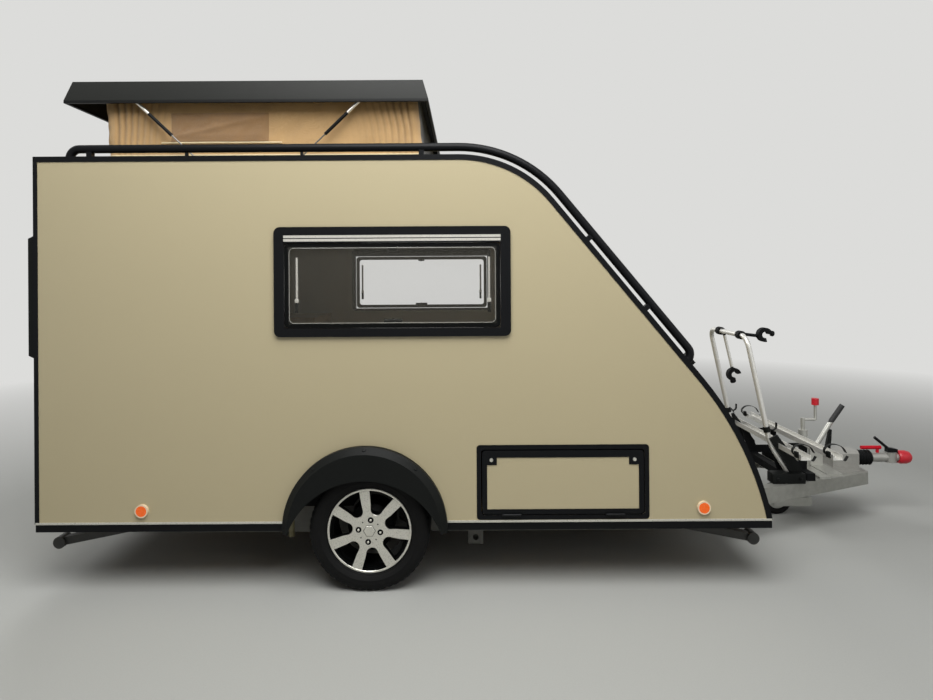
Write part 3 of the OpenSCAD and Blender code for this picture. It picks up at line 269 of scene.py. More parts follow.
# Depths of the fine relief
MACHINED, LID_GRAIN, DULL_GRAIN, WEATHERED, MOULDED, AS_CAST = 0.0001, 0.0003, 0.0004, 0.0005, 0.0006, 0.0008
LACQUER, MARKER_COAT, LAMP_COAT = 0.3, 0.6, 0.8

GLASS_VEIL, GLASS_COAT, ACRYLIC_IOR = 0.065, 0.6, 1.49
GLASS_TONES, GLASS_ROUGH = ("8B887C", "98958A"), (0.03, 0.07)
GLASS_PATCH, GLASS_GRAIN = 2.0, 30.0


def glass():
    """Lightly smoked acrylic that lets light through."""
    mat, nt, bsdf = fresh("smoked_acrylic")
    tone = mix(nt, speckle(nt, GLASS_PATCH), linear(GLASS_TONES[0]), linear(GLASS_TONES[1]))
    gloss = span(nt, speckle(nt, GLASS_GRAIN), *GLASS_ROUGH)
    settle(nt, bsdf, Base_Color=tone, Roughness=gloss, IOR=ACRYLIC_IOR, Coat_Weight=GLASS_COAT, Alpha=GLASS_VEIL)
    return mat


RING_WAVES, RING_BEND = 5.0, 6.0
STREAK_SCALE, STREAK_DETAIL, STREAK_STRETCH = 6.0, 5.0, (1, 1, 18)
WOOD_SHADES, WOOD_ROUGH, WOOD_RELIEF = (0.8, 1.12), (0.38, 0.6), 0.0002


def wood(name, finish):
    mat, nt, bsdf = fresh(name)
    rings = stripes(nt, RING_WAVES, "Z", RING_BEND)
    streak = speckle(nt, STREAK_SCALE, STREAK_DETAIL, STREAK_STRETCH)
    dark, light = (shade(finish.colour, k) for k in WOOD_SHADES)
    tone = mix(nt, calc(nt, "MULTIPLY", rings, streak), dark, light)
    settle(nt, bsdf, Base_Color=tone, Roughness=span(nt, streak, *WOOD_ROUGH))
    relief(nt, bsdf, streak, WOOD_RELIEF)
    return mat


# The mesh attribute that tells how deep a place lies in a pleat's valley, where the tent's cloth gets painted shade
FOLD_SHADING = "fold"
THREAD_WAVES, WEAVE_SHARE, WEAVE_RELIEF = 480.0, 0.25, 0.0006
FADE_SCALE, FADE_DETAIL, FADE_SPAN = 7.0, 5.0, (0.25, 0.75)
# FOLD_SHADE: the painted shade deep in a pleat's valley darkens the cloth towards this share of its colour
CLOTH_LIGHT, FOLD_SHADE = 1.1, 0.3
CLOTH_ROUGH, CLOTH_SHEEN, SHEEN_ROUGH = 0.92, 0.25, 0.5


def cloth(name, hex_colour, dark=0.78, painted_fold_shade=0.0):
    """Woven cloth: two crossing sets of threads, faded in soft patches, and with painted shade deep in its pleats'
    valleys.
    """
    mat, nt, bsdf = fresh(name)
    colour = linear(hex_colour)
    warp = calc(nt, "MAXIMUM", stripes(nt, THREAD_WAVES, "X"), stripes(nt, THREAD_WAVES, "Y"))
    weave = calc(nt, "MULTIPLY", warp, stripes(nt, THREAD_WAVES, "Z"))
    fade = calc(nt, "ADD", calc(nt, "MULTIPLY", speckle(nt, FADE_SCALE, FADE_DETAIL), 1 - WEAVE_SHARE),
                calc(nt, "MULTIPLY", weave, WEAVE_SHARE))
    tone = mix(nt, span(nt, fade, 0.0, 1.0, *FADE_SPAN), shade(colour, dark), shade(colour, CLOTH_LIGHT))
    # Painted shade: the cloth darkens where the fold attribute says a place lies deep in a pleat's valley
    if painted_fold_shade:
        depth = node(nt, "Attribute")
        depth.attribute_name = FOLD_SHADING
        tone = mix(nt, calc(nt, "MULTIPLY", depth.outputs["Fac"], painted_fold_shade), tone, shade(colour, FOLD_SHADE))
    settle(nt, bsdf, Base_Color=tone, Roughness=CLOTH_ROUGH, Sheen_Weight=CLOTH_SHEEN, Sheen_Roughness=SHEEN_ROUGH)
    relief(nt, bsdf, weave, WEAVE_RELIEF)
    return mat


# Meshes

MATERIALS = {}
LATHE_TIP = 1e-5
SLAB_STEPS, SLAB_ROUND = 2, 0.6
# Angles over which an edge is sharp, in degrees
CRISP, FIRM, NEVER = 25, 30, 180
WIRE_SIDES, SMALL_SIDES, KNOB_SIDES = 8, 20, 10


def circle(steps):
    return [2 * pi * k / steps for k in range(steps)]


def run(path):
    """The places of a path, each with the direction in which it runs there."""
    path = [Vector(p) for p in path]
    last = len(path) - 1
    return [(p, (path[min(i + 1, last)] - path[max(i - 1, 0)]).normalized()) for i, p in enumerate(path)]


class Shape:
    """Gathers the faces of one piece, then makes its object."""

    def __init__(self):
        self.verts, self.faces, self.slots = [], [], []

    def add(self, verts, faces, slot=0):
        n = len(self.verts)
        self.verts += [tuple(v) for v in verts]
        self.faces += [tuple(n + i for i in f) for f in faces]
        self.slots += [slot] * len(faces)
        return self

    def rings(self, rows, closed=False, caps=True, slot=0, wrap=True, flip=False):
        """Skins rows that have the same number of points: rings, or open rows without wrap."""
        n = len(rows[0])
        faces = []
        for i in range(len(rows) if closed else len(rows) - 1):
            a, b = i * n, (i + 1) % len(rows) * n
            faces += [(a + k, a + (k + 1) % n, b + (k + 1) % n, b + k) for k in range(n if wrap else n - 1)]
        if caps and wrap and not closed:
            faces.append(tuple(reversed(range(n))))
            faces.append(tuple(range((len(rows) - 1) * n, len(rows) * n)))
        return self.add([p for row in rows for p in row], [f[::-1] for f in faces] if flip else faces, slot)

    def tube(self, path, radius, sides=12):
        rows = []
        side = None
        for p, t in run(path):
            side = t.orthogonal() if side is None else side
            side = (side - side.dot(t) * t).normalized()
            up = t.cross(side)
            rows.append([p + radius * (cos(a) * side + sin(a) * up) for a in circle(sides)])
        return self.rings(rows)

    def lathe(self, profile, at, axis, steps=24, slot=0, caps=True):
        """Turns a profile of (radius, distance along the axis) about an axis."""
        at, axis = Vector(at), Vector(axis).normalized()
        side = axis.orthogonal().normalized()
        up = axis.cross(side)
        rows = [[at + along * axis + max(r, LATHE_TIP) * (cos(a) * side + sin(a) * up)
                 for a in circle(steps)] for r, along in profile]
        return self.rings(rows, slot=slot, caps=caps)

    def slab(self, at, low, high, bevel=0.002):
        """A block with rounded edges, between two corners that are measured from a place."""
        bm = bmesh.new()
        bmesh.ops.create_cube(bm, size=1.0)
        for v in bm.verts:
            v.co = Vector(a + lo + (c + 0.5) * (hi - lo) for a, lo, hi, c in zip(at, low, high, v.co))
        bmesh.ops.bevel(bm, geom=bm.edges[:], offset=bevel, segments=SLAB_STEPS, affect="EDGES", profile=SLAB_ROUND)
        return self.take(bm)

    def take(self, bm):
        bm.verts.index_update()
        self.add([v.co for v in bm.verts], [[v.index for v in f.verts] for f in bm.faces])
        bm.free()
        return self

    def strap(self, path, across, width, thick):
        """A flat band along a path, lying across a given direction."""
        rows = []
        for p, t in run(path):
            up = t.cross(across).normalized()
            w, h = across * width / 2, up * thick / 2
            rows.append([p - w - h, p + w - h, p + w + h, p - w + h])
        return self.rings(rows)

    def mirrored(self):
        """Adds the same faces on the other side of the caravan."""
        n = len(self.verts)
        self.verts += [(x, -y, z) for x, y, z in self.verts]
        self.faces += [tuple(n + i for i in reversed(f)) for f in self.faces]
        self.slots += self.slots
        return self

    def piece(self, name, body, *finishes, sharp_deg=35):
        mesh = bpy.data.meshes.new(name)
        mesh.from_pydata(self.verts, [], self.faces)
        for finish in finishes:
            mesh.materials.append(MATERIALS[finish])
        for p, s in zip(mesh.polygons, self.slots):
            p.use_smooth = True
            p.material_index = s
        mesh.update()
        mesh.set_sharp_from_angle(angle=radians(sharp_deg))
        obj = bpy.data.objects.new(name, mesh)
        bpy.context.scene.collection.objects.link(obj)
        if body:
            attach(obj, body)
        return obj


def curve_through(points, steps=8):
    """Points on a smooth curve through the given ones."""
    pts = [Vector(p) for p in points]
    ends = [2 * pts[0] - pts[1]] + pts + [2 * pts[-1] - pts[-2]]
    out = []
    for i in range(1, len(ends) - 2):
        a, b, c, d = ends[i - 1:i + 3]
        for k in range(steps):
            t = k / steps
            out.append(0.5 * (2 * b + (c - a) * t + (2 * a - 5 * b + 4 * c - d) * t ** 2
                              + (3 * b - a - 3 * c + d) * t ** 3))
    return out + [pts[-1]]


# Studio

WORLD_LIGHT = 0.14
BACKGROUND = linear("DCDCDA")
FLOOR_COLOUR = linear("A6A7A3")
FLOOR_RADII = (16.0, 16.0 / 24)
FLOOR_STEPS = 64
FLOOR_FADE = (3.5, 9.0)
FLOOR_DROP = 0.0005
FLOOR_GRAIN, FLOOR_SHADE, FLOOR_ROUGH = 180.0, 0.9, 0.9
# Each lamp's place, target, width and watts
LAMPS = {
    "key": ((-0.4, -3.1, 4.8), (-0.5, -1.0, 1.9), 4.0, 310),
    "fill": ((4.5, -5.0, 3.2), (0.8, -0.6, 0.9), 4.0, 55),
    "rear": ((-3.5, 5.0, 5.0), (-0.5, 0.0, 1.2), 5.0, 300),
}


def seen_directly(nt):
    """1 for rays from the camera, off gloss and through glass."""
    path = node(nt, "LightPath").outputs
    return calc(nt, "MAXIMUM", path["Is Camera Ray"],
                calc(nt, "MAXIMUM", path["Is Glossy Ray"], path["Is Transmission Ray"]))


def make_world():
    world = bpy.data.worlds.new("studio")
    bpy.context.scene.world = world
    world.use_nodes = True
    nt = world.node_tree
    nt.nodes.clear()
    soft = node(nt, "Background", Strength=WORLD_LIGHT, Color=(1, 1, 1, 1))
    seen = node(nt, "Background", Color=BACKGROUND)
    blend(nt, seen_directly(nt), soft, seen, node(nt, "OutputWorld").inputs[0])


def make_lamps():
    for name, (at, target, size, watts) in LAMPS.items():
        data = bpy.data.lights.new(name, "AREA")
        data.shape = "DISK"
        data.size = size
        data.energy = watts
        lamp = bpy.data.objects.new(name, data)
        lamp.location = at
        lamp.rotation_euler = (Vector(target) - Vector(at)).to_track_quat("-Z", "Y").to_euler()
        bpy.context.scene.collection.objects.link(lamp)


def make_floor():
    """A pale round floor that fades into the background far from the caravan."""
    mat, nt, bsdf = fresh("pale_floor")
    grain = speckle(nt, FLOOR_GRAIN, FINE_DETAIL)
    tone = mix(nt, grain, shade(FLOOR_COLOUR, FLOOR_SHADE), FLOOR_COLOUR)
    settle(nt, bsdf, Base_Color=tone, Roughness=FLOOR_ROUGH)
    far = distance_from(nt, axes(nt), (0, 0, 0), (0, 1))
    fade = calc(nt, "MULTIPLY", span(nt, far, 0.0, 1.0, *FLOOR_FADE), seen_directly(nt))
    glow = node(nt, "Emission", Color=BACKGROUND)
    blend(nt, fade, bsdf, glow, nt.nodes["Material Output"].inputs["Surface"])
    rows = [[(r * cos(a), r * sin(a), -FLOOR_DROP) for a in circle(FLOOR_STEPS)] for r in FLOOR_RADII]
    floor = Shape().rings(rows, caps=False).add(rows[1], [tuple(range(FLOOR_STEPS))])
    MATERIALS["floor"] = mat
    floor.piece("floor", None, "floor")


# CAD nodes and their finishes

def paint(mat, *names):
    for name in names:
        data = NODES[name].data
        data.materials.clear()
        data.materials.append(mat)


SMOOTH_UNDER, WELD_REACH = radians(32), 0.00001


def soften(*names):
    """Smooth shading on curved CAD nodes, with their real edges kept."""
    for name in names:
        obj = NODES[name]
        for p in obj.data.polygons:
            p.use_smooth = True
        weld = obj.modifiers.new("weld", "WELD")
        weld.merge_threshold = WELD_REACH
        split = obj.modifiers.new("edges", "EDGE_SPLIT")
        split.split_angle = SMOOTH_UNDER


# How far inside a face a zone begins
SKIN = 0.001
HANDLE_T = 0.01
LID_LIP = 0.0145


def paint_body():
    low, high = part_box("side_wall_right")
    # Painted shade: the wall's cut faces, between its outer and inner skins, get black matt; its inner face gets
    # the lining
    shaded_reveal, inside = within(1, -low.y - SKIN), within(1, -high.y + SKIN)
    paint(surface("sand_lacquer", SAND, [(shaded_reveal, BLACK_MATT), (inside, LINING)], coat=LACQUER),
          "side_wall_right", "side_wall_left", "locker_panel")
    lined = above(0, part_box("rear_wall")[0].x + SKIN)
    handle = below(0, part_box("rear_door")[0].x + HANDLE_T)
    paint(surface("sand_rear", SAND, [(lined, LINING)], coat=LACQUER), "rear_wall")
    paint(surface("sand_door", SAND, [(lined, LINING), (handle, BLACK_SATIN)], coat=LACQUER), "rear_door")
    ceiling = below(2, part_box("roof_panel")[0].z + 2 * SKIN)
    paint(surface("sand_roof", SAND, [(ceiling, LINING)], coat=LACQUER), "roof_panel")
    paint(surface("sand_nose", SAND, coat=LACQUER), "nose_panel")
    paint(surface("black_satin", BLACK_SATIN), "edge_trims", "roof_rails", "locker_frame", "locker_door")
    paint(surface("black_grained", BLACK_GRAINED, depth=MOULDED), "wheel_arches", "lamp_housings", "plate_holder")
    paint(surface("black_matt", BLACK_MATT), "skirts", "wheel_boxes", "rack_base", "gaiter")
    lip = below(2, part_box("roof_lid")[0].z + LID_LIP)
    paint(surface("lid_shell", LID_GREY, [(lip, LIP_BLACK)], depth=LID_GRAIN), "roof_lid")
    paint(wood("light_timber", TIMBER), "bed_base", "cabinets", "floor_panel")


STRIP_DROP, STRIP_GROOVE = 0.0565, 0.0022
DOOR_FRAME = 0.052


def paint_glazing():
    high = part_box("window_frames")[1]
    strip = outside(1, high.y - 2 * SKIN)
    middle = high.z - STRIP_DROP
    groove = both(strip, between(2, middle - STRIP_GROOVE, middle + STRIP_GROOVE))
    paint(surface("window_frame", BLACK_SATIN, [(strip, BRIGHT), (groove, BLACK_SATIN)]), "window_frames")
    paint(glass(), "window_panes")
    low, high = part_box("rear_door_pane")
    light = both(within(1, high.y - DOOR_FRAME), between(2, low.z + DOOR_FRAME, high.z - DOOR_FRAME))
    paint(surface("door_window", BLACK_SATIN, [(light, SMOKED)]), "rear_door_pane")


AMBER_HALF = 0.06


def paint_lamps():
    low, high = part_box("lamp_lenses")
    middle = (low.z + high.z) / 2
    amber = between(2, middle - AMBER_HALF, middle + AMBER_HALF)
    paint(surface("lamp_glass", LAMP_RED, [(amber, AMBER)], coat=LAMP_COAT), "lamp_lenses")
    paint(marker_finish(), "side_markers")


STEADIES = ["steady_" + end for end in ("front_right", "front_left", "rear_right", "rear_left")]
CRANK_KNOB_H = 0.0425
RED_LEVER_TOP, RED_LEVER_END = 0.4345, 2.342
GRIP_FOOT, JOCKEY_HUB = 0.588, 0.06
# The bare tube of the hanging claw: from this Y on, between these heights
HANGER_Y, HANGER_Z = 0.08, (0.935, 1.145)


def paint_running_gear():
    paint(surface("galvanised", ZINC, depth=DULL_GRAIN), "jockey_tube", "jockey_fork", "hatch_frame")
    paint(surface("weathered_zinc", DRAWBAR_ZINC, depth=WEATHERED), "drawbar_members")
    # Painted shade: the chassis, axle and brackets under the floor get a darkened zinc
    paint(surface("dull_galvanised_painted_shade", DULL_SHADED_ZINC, depth=DULL_GRAIN),
          "chassis_members", "cross_members", "axle_beam", "under_brackets")
    # Painted shade: the steadies get a darkened zinc
    paint(surface("steady_zinc_painted_shade", SHADED_STEADY_ZINC, depth=DULL_GRAIN), *STEADIES)
    paint(surface("cast_zinc", CAST, depth=AS_CAST), "overrun_housing", "coupling_head")
    paint(surface("anodised", ANODISED), "rack_rails", "rack_hoop")
    hanger = both(above(1, HANGER_Y), between(2, *HANGER_Z))
    paint(surface("carrier_clamps", BLACK_MATT, [(hanger, ANODISED)]), "rack_clamps")
    paint(surface("red_rubber", RED, depth=DULL_GRAIN), "nose_pad")
    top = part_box("jockey_crank")[1].z - CRANK_KNOB_H
    paint(surface("crank", ZINC, [(above(2, top), RED)]), "jockey_crank")
    lever = both(below(0, RED_LEVER_END), below(2, RED_LEVER_TOP))
    paint(surface("levers", BLACK_SATIN, [(lever, RED)]), "coupling_levers")
    paint(surface("brake_lever", ZINC, [(above(2, GRIP_FOOT), BLACK_MATT)]), "handbrake_lever")
    low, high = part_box("jockey_wheel")
    hub = nearer((low + high) / 2, (0, 2), JOCKEY_HUB)
    paint(surface("jockey_wheel", RUBBER, [(hub, ZINC)]), "jockey_wheel")


def paint_nodes():
    paint_body()
    paint_glazing()
    paint_lamps()
    paint_running_gear()
    paint_struts()
    soften("nose_panel", "roof_rails", "wheel_arches", "wheel_boxes", "gaiter", "coupling_head", "nose_pad",
           "rack_hoop", "rack_clamps", "jockey_tube", "jockey_fork", "jockey_crank", "jockey_wheel",
           "handbrake_lever", "coupling_levers", "axle_beam", "side_markers", "lamp_lenses", "edge_trims",
           "side_wall_right", "side_wall_left", "window_frames", "rear_door", "locker_door", "locker_frame",
           "overrun_housing", "hatch_frame", "roof_lid", "window_panes", "rear_door_pane", *STEADIES)


MARKER_RIM = 0.026


def marker_finish():
    """An amber lens inside a cream rim, on the pairs of side markers."""
    low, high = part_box("side_markers")
    radius = (high.z - low.z) / 2
    mid, half = (low.x + high.x) / 2, (high.x - low.x) / 2 - radius

    def rim(nt, at):
        along = calc(nt, "ABSOLUTE", calc(nt, "SUBTRACT", at[0], mid))
        from_middle = distance_from(nt, (along, at[2]), (half, low.z + radius), (0, 1))
        return calc(nt, "GREATER_THAN", from_middle, MARKER_RIM)

    return surface("marker", AMBER, [(rim, CREAM)], coat=MARKER_COAT)


STRUT_FITTING, STRUT_EYE = 0.106, 0.011


def paint_struts():
    rod = surface("strut_rod", ROD_GREY)
    for end in ("rear", "front"):
        tubes, rods = "strut_tubes_" + end, "strut_rods_" + end
        low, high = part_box(tubes)
        pin_x = low.x + STRUT_EYE if end == "rear" else high.x - STRUT_EYE
        fitting = nearer((pin_x, 0.0, high.z - STRUT_EYE), (0, 2), STRUT_FITTING)
        paint(surface("strut_" + end, BLACK_SATIN, [(fitting, BRIGHT)]), tubes)
        paint(rod, rods)
        soften(tubes, rods)


def make_materials():
    MATERIALS.update({
        "rubber": surface("tyre_rubber", RUBBER, depth=WEATHERED),
        "bright": surface("bright_alloy", BRIGHT),
        "black": surface("black_plastic", BLACK_GRAINED),
        "khaki": surface("khaki_plastic", KHAKI),
        "red": surface("red_plastic", RED),
        "satin": surface("wheel_black", WELL_BLACK),
        "machined": surface("machined_face", BRIGHT, depth=MACHINED),
        # A painted highlight along the panes' bevels
        "bevel_highlight": surface("pane_bevel_highlight", PAINTED_BEVEL_HIGHLIGHT),
        # The tent's tan cloth, with painted shade in its pleats' valleys
        "tan_cloth_shaded_folds": cloth("tan_cloth_shaded_folds", "BE9A68", painted_fold_shade=0.75),
        "flap_cloth": cloth("flap_cloth", "94724A"),
        "grey_cloth": cloth("grey_cloth", "3A3A3A"),
        "pale_cloth": cloth("pale_cloth", "DCCBA4", dark=0.9),
    })


# Tyres

SIDES = (("right", -1), ("left", 1))
TYRE_STEPS = 216
TREAD_HALF, SHOULDER = 0.072, 0.058
GROOVES, GROOVE_HALF, GROOVE_DEPTH = (-0.044, 0.0, 0.044), 0.0045, 0.006
# A groove's foot and its edge, as shares of its half width
GROOVE_SHARES = (0.7, 1.15)
BLOCKS, SIPE_SHARE, SIPE_DEPTH = 54, 0.16, 0.6 * GROOVE_DEPTH
# Grooves and sipes are cut beyond these shares of the radius, and sipes beside the middle
GROOVE_FROM, SIPE_FROM, SIPE_IN = 0.99, 0.955, 0.05
# Half profile as shares of the radius and of the half width, from the bead to the tread's edge
SIDE_SHARES = [(0.648, 0.775), (0.7015, 0.775), (0.7065, 0.845), (0.722, 0.9), (0.733, 0.888), (0.765, 0.955),
               (0.802, 0.984), (0.808, 0.996), (0.82, 0.996), (0.826, 0.99), (0.856, 1.0), (0.9, 0.988),
               (0.94, 0.955), (0.965, 0.915), (0.985, 0.85), (0.996, 0.775)]


def tyre_piece(side):
    """A tyre with grooves, blocks and moulded sides, in place of its node."""
    low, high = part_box("tyre_" + side)
    centre = (low + high) / 2
    radius, half = (high.z - low.z) / 2, (high.y - low.y) / 2
    wall = [(r * radius, a * half) for r, a in SIDE_SHARES]
    edges = sorted([g + s * GROOVE_HALF * w for g in GROOVES for s in (-1, 1) for w in GROOVE_SHARES]
                   + [-TREAD_HALF, TREAD_HALF, -SHOULDER, SHOULDER])
    profile = [(r, -a) for r, a in wall] + [(radius, a) for a in edges] + wall[::-1]

    def cut(r, a, step):
        if any(abs(a - g) < GROOVE_HALF for g in GROOVES) and r > GROOVE_FROM * radius:
            return GROOVE_DEPTH
        phase = (BLOCKS * step / TYRE_STEPS + (0.5 if a > 0 else 0.0)) % 1.0
        sipe = r > SIPE_FROM * radius and abs(a) > SIPE_IN and phase < SIPE_SHARE
        return SIPE_DEPTH if sipe else 0.0

    rows = []
    for k, turn in enumerate(circle(TYRE_STEPS)):
        rows.append([(centre.x + r * cos(turn), centre.y + a, centre.z + r * sin(turn))
                     for r, a in ((r - cut(r, a, k), a) for r, a in profile)])
    obj = Shape().rings(rows, closed=True).piece("tyre_tread_" + side, "wheel_" + side, "rubber", sharp_deg=FIRM)
    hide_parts("tyre_" + side)


# Road wheels: lengths from the wheel's axis, heights from the machined face

FACE_OUT = 0.084
RIM_RADIUS, BARREL_RADIUS, DISC_T, DRUM_RADIUS = 0.2075, 0.182, 0.036, 0.115
SPOKES, SPOKE_LEAD = 7, radians(97)
POCKET_IN, POCKET_END, POCKET_OUT, POCKET_HALF = 0.113, 0.03, 0.197, radians(18.3)
EDGE = 0.0015
BOLTS, BOLT_CIRCLE, BOLT_LEAD, BOLT_WELL = 4, 0.054, radians(83), 0.0145
DOT_CIRCLE, DOT_RADIUS = 0.053, 0.0034
CAP_RADIUS, CAP_H, CAP_SIDES = 0.028, 0.003, 6
QUARTER = pi / 2
# Profiles, as radius and height
POCKET_WALL = [(POCKET_OUT, -DISC_T), (POCKET_OUT, -EDGE)]
RIM = [(POCKET_OUT, -EDGE), (POCKET_OUT + EDGE, 0.0), (RIM_RADIUS - EDGE, 0.0), (RIM_RADIUS, -EDGE),
       (RIM_RADIUS, -0.007)]
BARREL = [(RIM_RADIUS, -0.007), (0.191, -0.008), (0.191, -0.16), (RIM_RADIUS, -0.161), (RIM_RADIUS, -0.168),
          (BARREL_RADIUS, -0.168), (BARREL_RADIUS, -DISC_T), (POCKET_OUT, -DISC_T)]
DRUM = [(0.0, -DISC_T), (0.09, -DISC_T), (DRUM_RADIUS, -0.06), (DRUM_RADIUS, -0.19), (0.0, -0.19)]
CAP_SEAT = [(CAP_RADIUS + 0.0025, -0.001), (CAP_RADIUS + 0.0025, 0.0008), (CAP_RADIUS, 0.0008)]
CAP = [(CAP_RADIUS, 0.0004), (CAP_RADIUS, CAP_H - 0.001), (CAP_RADIUS - 0.002, CAP_H)]
WELL = [(BOLT_WELL, -0.002), (BOLT_WELL, 0.0006), (BOLT_WELL - 0.001, 0.0006)]
BOLT = [(0.0095, 0.0), (0.0095, 0.003), (0.007, 0.0044), (0.0062, 0.0044)]
# The bolt's domed tip takes the bright finish as a painted highlight on the dark bolt head
BOLT_HIGHLIGHT_TIP = [(0.0062, 0.004), (0.005, 0.0052), (0.0, 0.0058)]
DOT = [(DOT_RADIUS, -0.001), (DOT_RADIUS, 0.0005), (0.0, 0.0005)]
RIM_SIDES, DRUM_SIDES, WELL_SIDES, BOLT_SIDES, TIP_SIDES, DOT_SIDES = 96, 64, 28, 6, 16, 12
FACE_IN, FACE_STEPS = 0.8 * CAP_RADIUS, 4
# Turns of the face: shares of a pocket's half at its end and its side, and of a spoke's pitch
END_STEPS, SIDE_STEPS, SIDE_FROM, SIDE_SPAN = 8, 10, 0.8, 0.2
SPOKE_SHARES = (0.8, 0.9)


def pocket_edge(turn):
    """Radius at which the face ends, at a turn from the middle of a pocket."""
    t = abs(turn)
    if t >= POCKET_HALF:
        return POCKET_OUT
    if POCKET_IN * sin(t) < POCKET_END:
        return POCKET_IN * cos(t) - sqrt(POCKET_END ** 2 - (POCKET_IN * sin(t)) ** 2)
    start = Vector((POCKET_IN, POCKET_END))
    along = POCKET_OUT * Vector((cos(POCKET_HALF), sin(POCKET_HALF))) - start
    ray = Vector((cos(t), sin(t)))
    return start.cross(along) / ray.cross(along)


def face_turns():
    """Turns round the wheel, close together where the pockets' sides rise."""
    half = pi / SPOKES
    side = [POCKET_HALF * k / END_STEPS * SIDE_FROM for k in range(END_STEPS)]
    side += [POCKET_HALF * (SIDE_FROM + SIDE_SPAN * k / SIDE_STEPS) for k in range(SIDE_STEPS + 1)]
    side += [half * share for share in SPOKE_SHARES]
    local = [-t for t in reversed(side[1:])] + side + [half]
    return [(SPOKE_LEAD + (2 * i + 1) * half + t, t) for i in range(SPOKES) for t in local]


def wheel_piece(side, sign):
    """A two-tone alloy wheel: a machined face with rounded pockets, a thin bright rim and a black barrel."""
    low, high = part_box("tyre_" + side)
    out = sign * Y
    hub = (low + high) / 2 + FACE_OUT * out

    def at(radius, turn, height):
        return hub + radius * (cos(turn) * X + sin(turn) * Z) + height * out

    columns = []
    for turn, local in face_turns():
        edge = pocket_edge(local)
        steps = [FACE_IN + (edge - EDGE - FACE_IN) * k / FACE_STEPS for k in range(FACE_STEPS + 1)]
        columns.append([at(r, turn, 0.0) for r in steps] + [at(edge, turn, -EDGE), at(edge, turn, -DISC_T)])
    shape = Shape().rings(columns, closed=True, wrap=False, flip=sign < 0)
    steps = len(columns[0]) - 1
    shape.slots = [int(i % steps < steps - 1) for i in range(len(shape.slots))]
    for profile, slot in ((POCKET_WALL, 0), (RIM, 1), (BARREL, 0)):
        shape.lathe(profile, hub, out, RIM_SIDES, slot=slot, caps=False)
    shape.lathe(DRUM, hub, out, DRUM_SIDES)
    hexagon = circle(CAP_SIDES) if sign < 0 else circle(CAP_SIDES)[::-1]
    for profile, slot in ((CAP_SEAT, 0), (CAP, 1)):
        shape.rings([[at(r, a, h) for a in hexagon] for r, h in profile], slot=slot)
    for k in range(BOLTS):
        well = at(BOLT_CIRCLE, BOLT_LEAD + k * QUARTER, 0.0)
        shape.lathe(WELL, well, out, WELL_SIDES)
        shape.lathe(BOLT, well, out, BOLT_SIDES)
        # Painted highlight: the bright tip on each dark bolt
        shape.lathe(BOLT_HIGHLIGHT_TIP, well, out, TIP_SIDES, slot=1)
        shape.lathe(DOT, at(DOT_CIRCLE, BOLT_LEAD + (k + 0.5) * QUARTER, 0.0), out, DOT_SIDES)
    obj = shape.piece("alloy_wheel_" + side, "wheel_" + side, "satin", "machined", sharp_deg=CRISP)
    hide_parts("wheel_" + side)


# Pop-top tent

TENT_CORNER = 0.05
TENT_COLUMNS, TENT_ROWS = 1280, 28
TENT_LEAN_REAR, TENT_LEAN_FRONT = 0.033, 0.048
TENT_HEM = 0.11
# How far forward the grey front faces
FRONT_FACE = 0.8
PLEAT_PITCH, PLEAT_REACH, PLEAT_DEPTH = 0.031, 0.2, 0.01
# Pleats draw together towards the lid, sway, and are shallow at the foot
PLEAT_FAN, PLEAT_SWAY, PLEAT_FOOT = 0.22, 0.55, 0.35
SLACK, SLACK_LOSS, BULGE_LIMIT = 0.014, 0.4, 0.008
# Waves of the noises, level and upward
SWAY_WAVES, DRIFT_WAVES, CREASE_WAVES = (2.3, 2.1), (3.1, 1.7), (9.0, 3.0)
DRIFT, CREASE, CREASE_LEVEL, CREASE_SLANT = 0.008, 0.0055, 0.35, 2.2
WRINKLE, WRINKLE_SCALE = 0.002, 2.7
# The hems hold the cloth: shares of a half turn at the foot and over the height
HELD_FOOT, HELD_SPAN = 0.1, 0.86


def round_loop(x0, x1, half, corner, count):
    """Points, outward directions and shares along a rectangle with round corners."""
    w, h = (x1 - x0) - 2 * corner, 2 * half - 2 * corner
    quarter = pi * corner / 2
    total = 2 * (w + h) + 4 * quarter
    legs = [(Vector((x0 + corner, -half)), Vector((1, 0)), w), (Vector((x1, -half + corner)), Vector((0, 1)), h),
            (Vector((x1 - corner, half)), Vector((-1, 0)), w), (Vector((x0, half - corner)), Vector((0, -1)), h)]
    out = []
    for k in range(count):
        s = total * k / count
        for start, along, length in legs:
            normal = Vector((along.y, -along.x))
            if s < length:
                out.append((start + s * along, normal, min(s, length - s)))
                break
            s -= length
            if s < quarter:
                a = s / corner
                middle = start + length * along - corner * normal
                turned = cos(a) * normal + sin(a) * along
                out.append((middle + corner * turned, turned, 0.0))
                break
            s -= quarter
    return out


def gathered(from_corner):
    """1 by a corner of the tent and 0 far from it."""
    return exp(-(from_corner / PLEAT_REACH) ** 2)


def noise_at(p, v, waves):
    """Noise at a place on the plan and a share of the height."""
    return lattice.noise(Vector((p.x * waves[0], p.y * waves[0], v * waves[1])))


def pleat(p, from_corner, v):
    """1 on the crest of a pleat and -1 in its valley, less at the foot and away from the corners."""
    turns = from_corner / PLEAT_PITCH * (1.0 - PLEAT_FAN * v) + PLEAT_SWAY * noise_at(p, v, SWAY_WAVES)
    return gathered(from_corner) * (PLEAT_FOOT + (1 - PLEAT_FOOT) * v) * cos(2 * pi * turns)


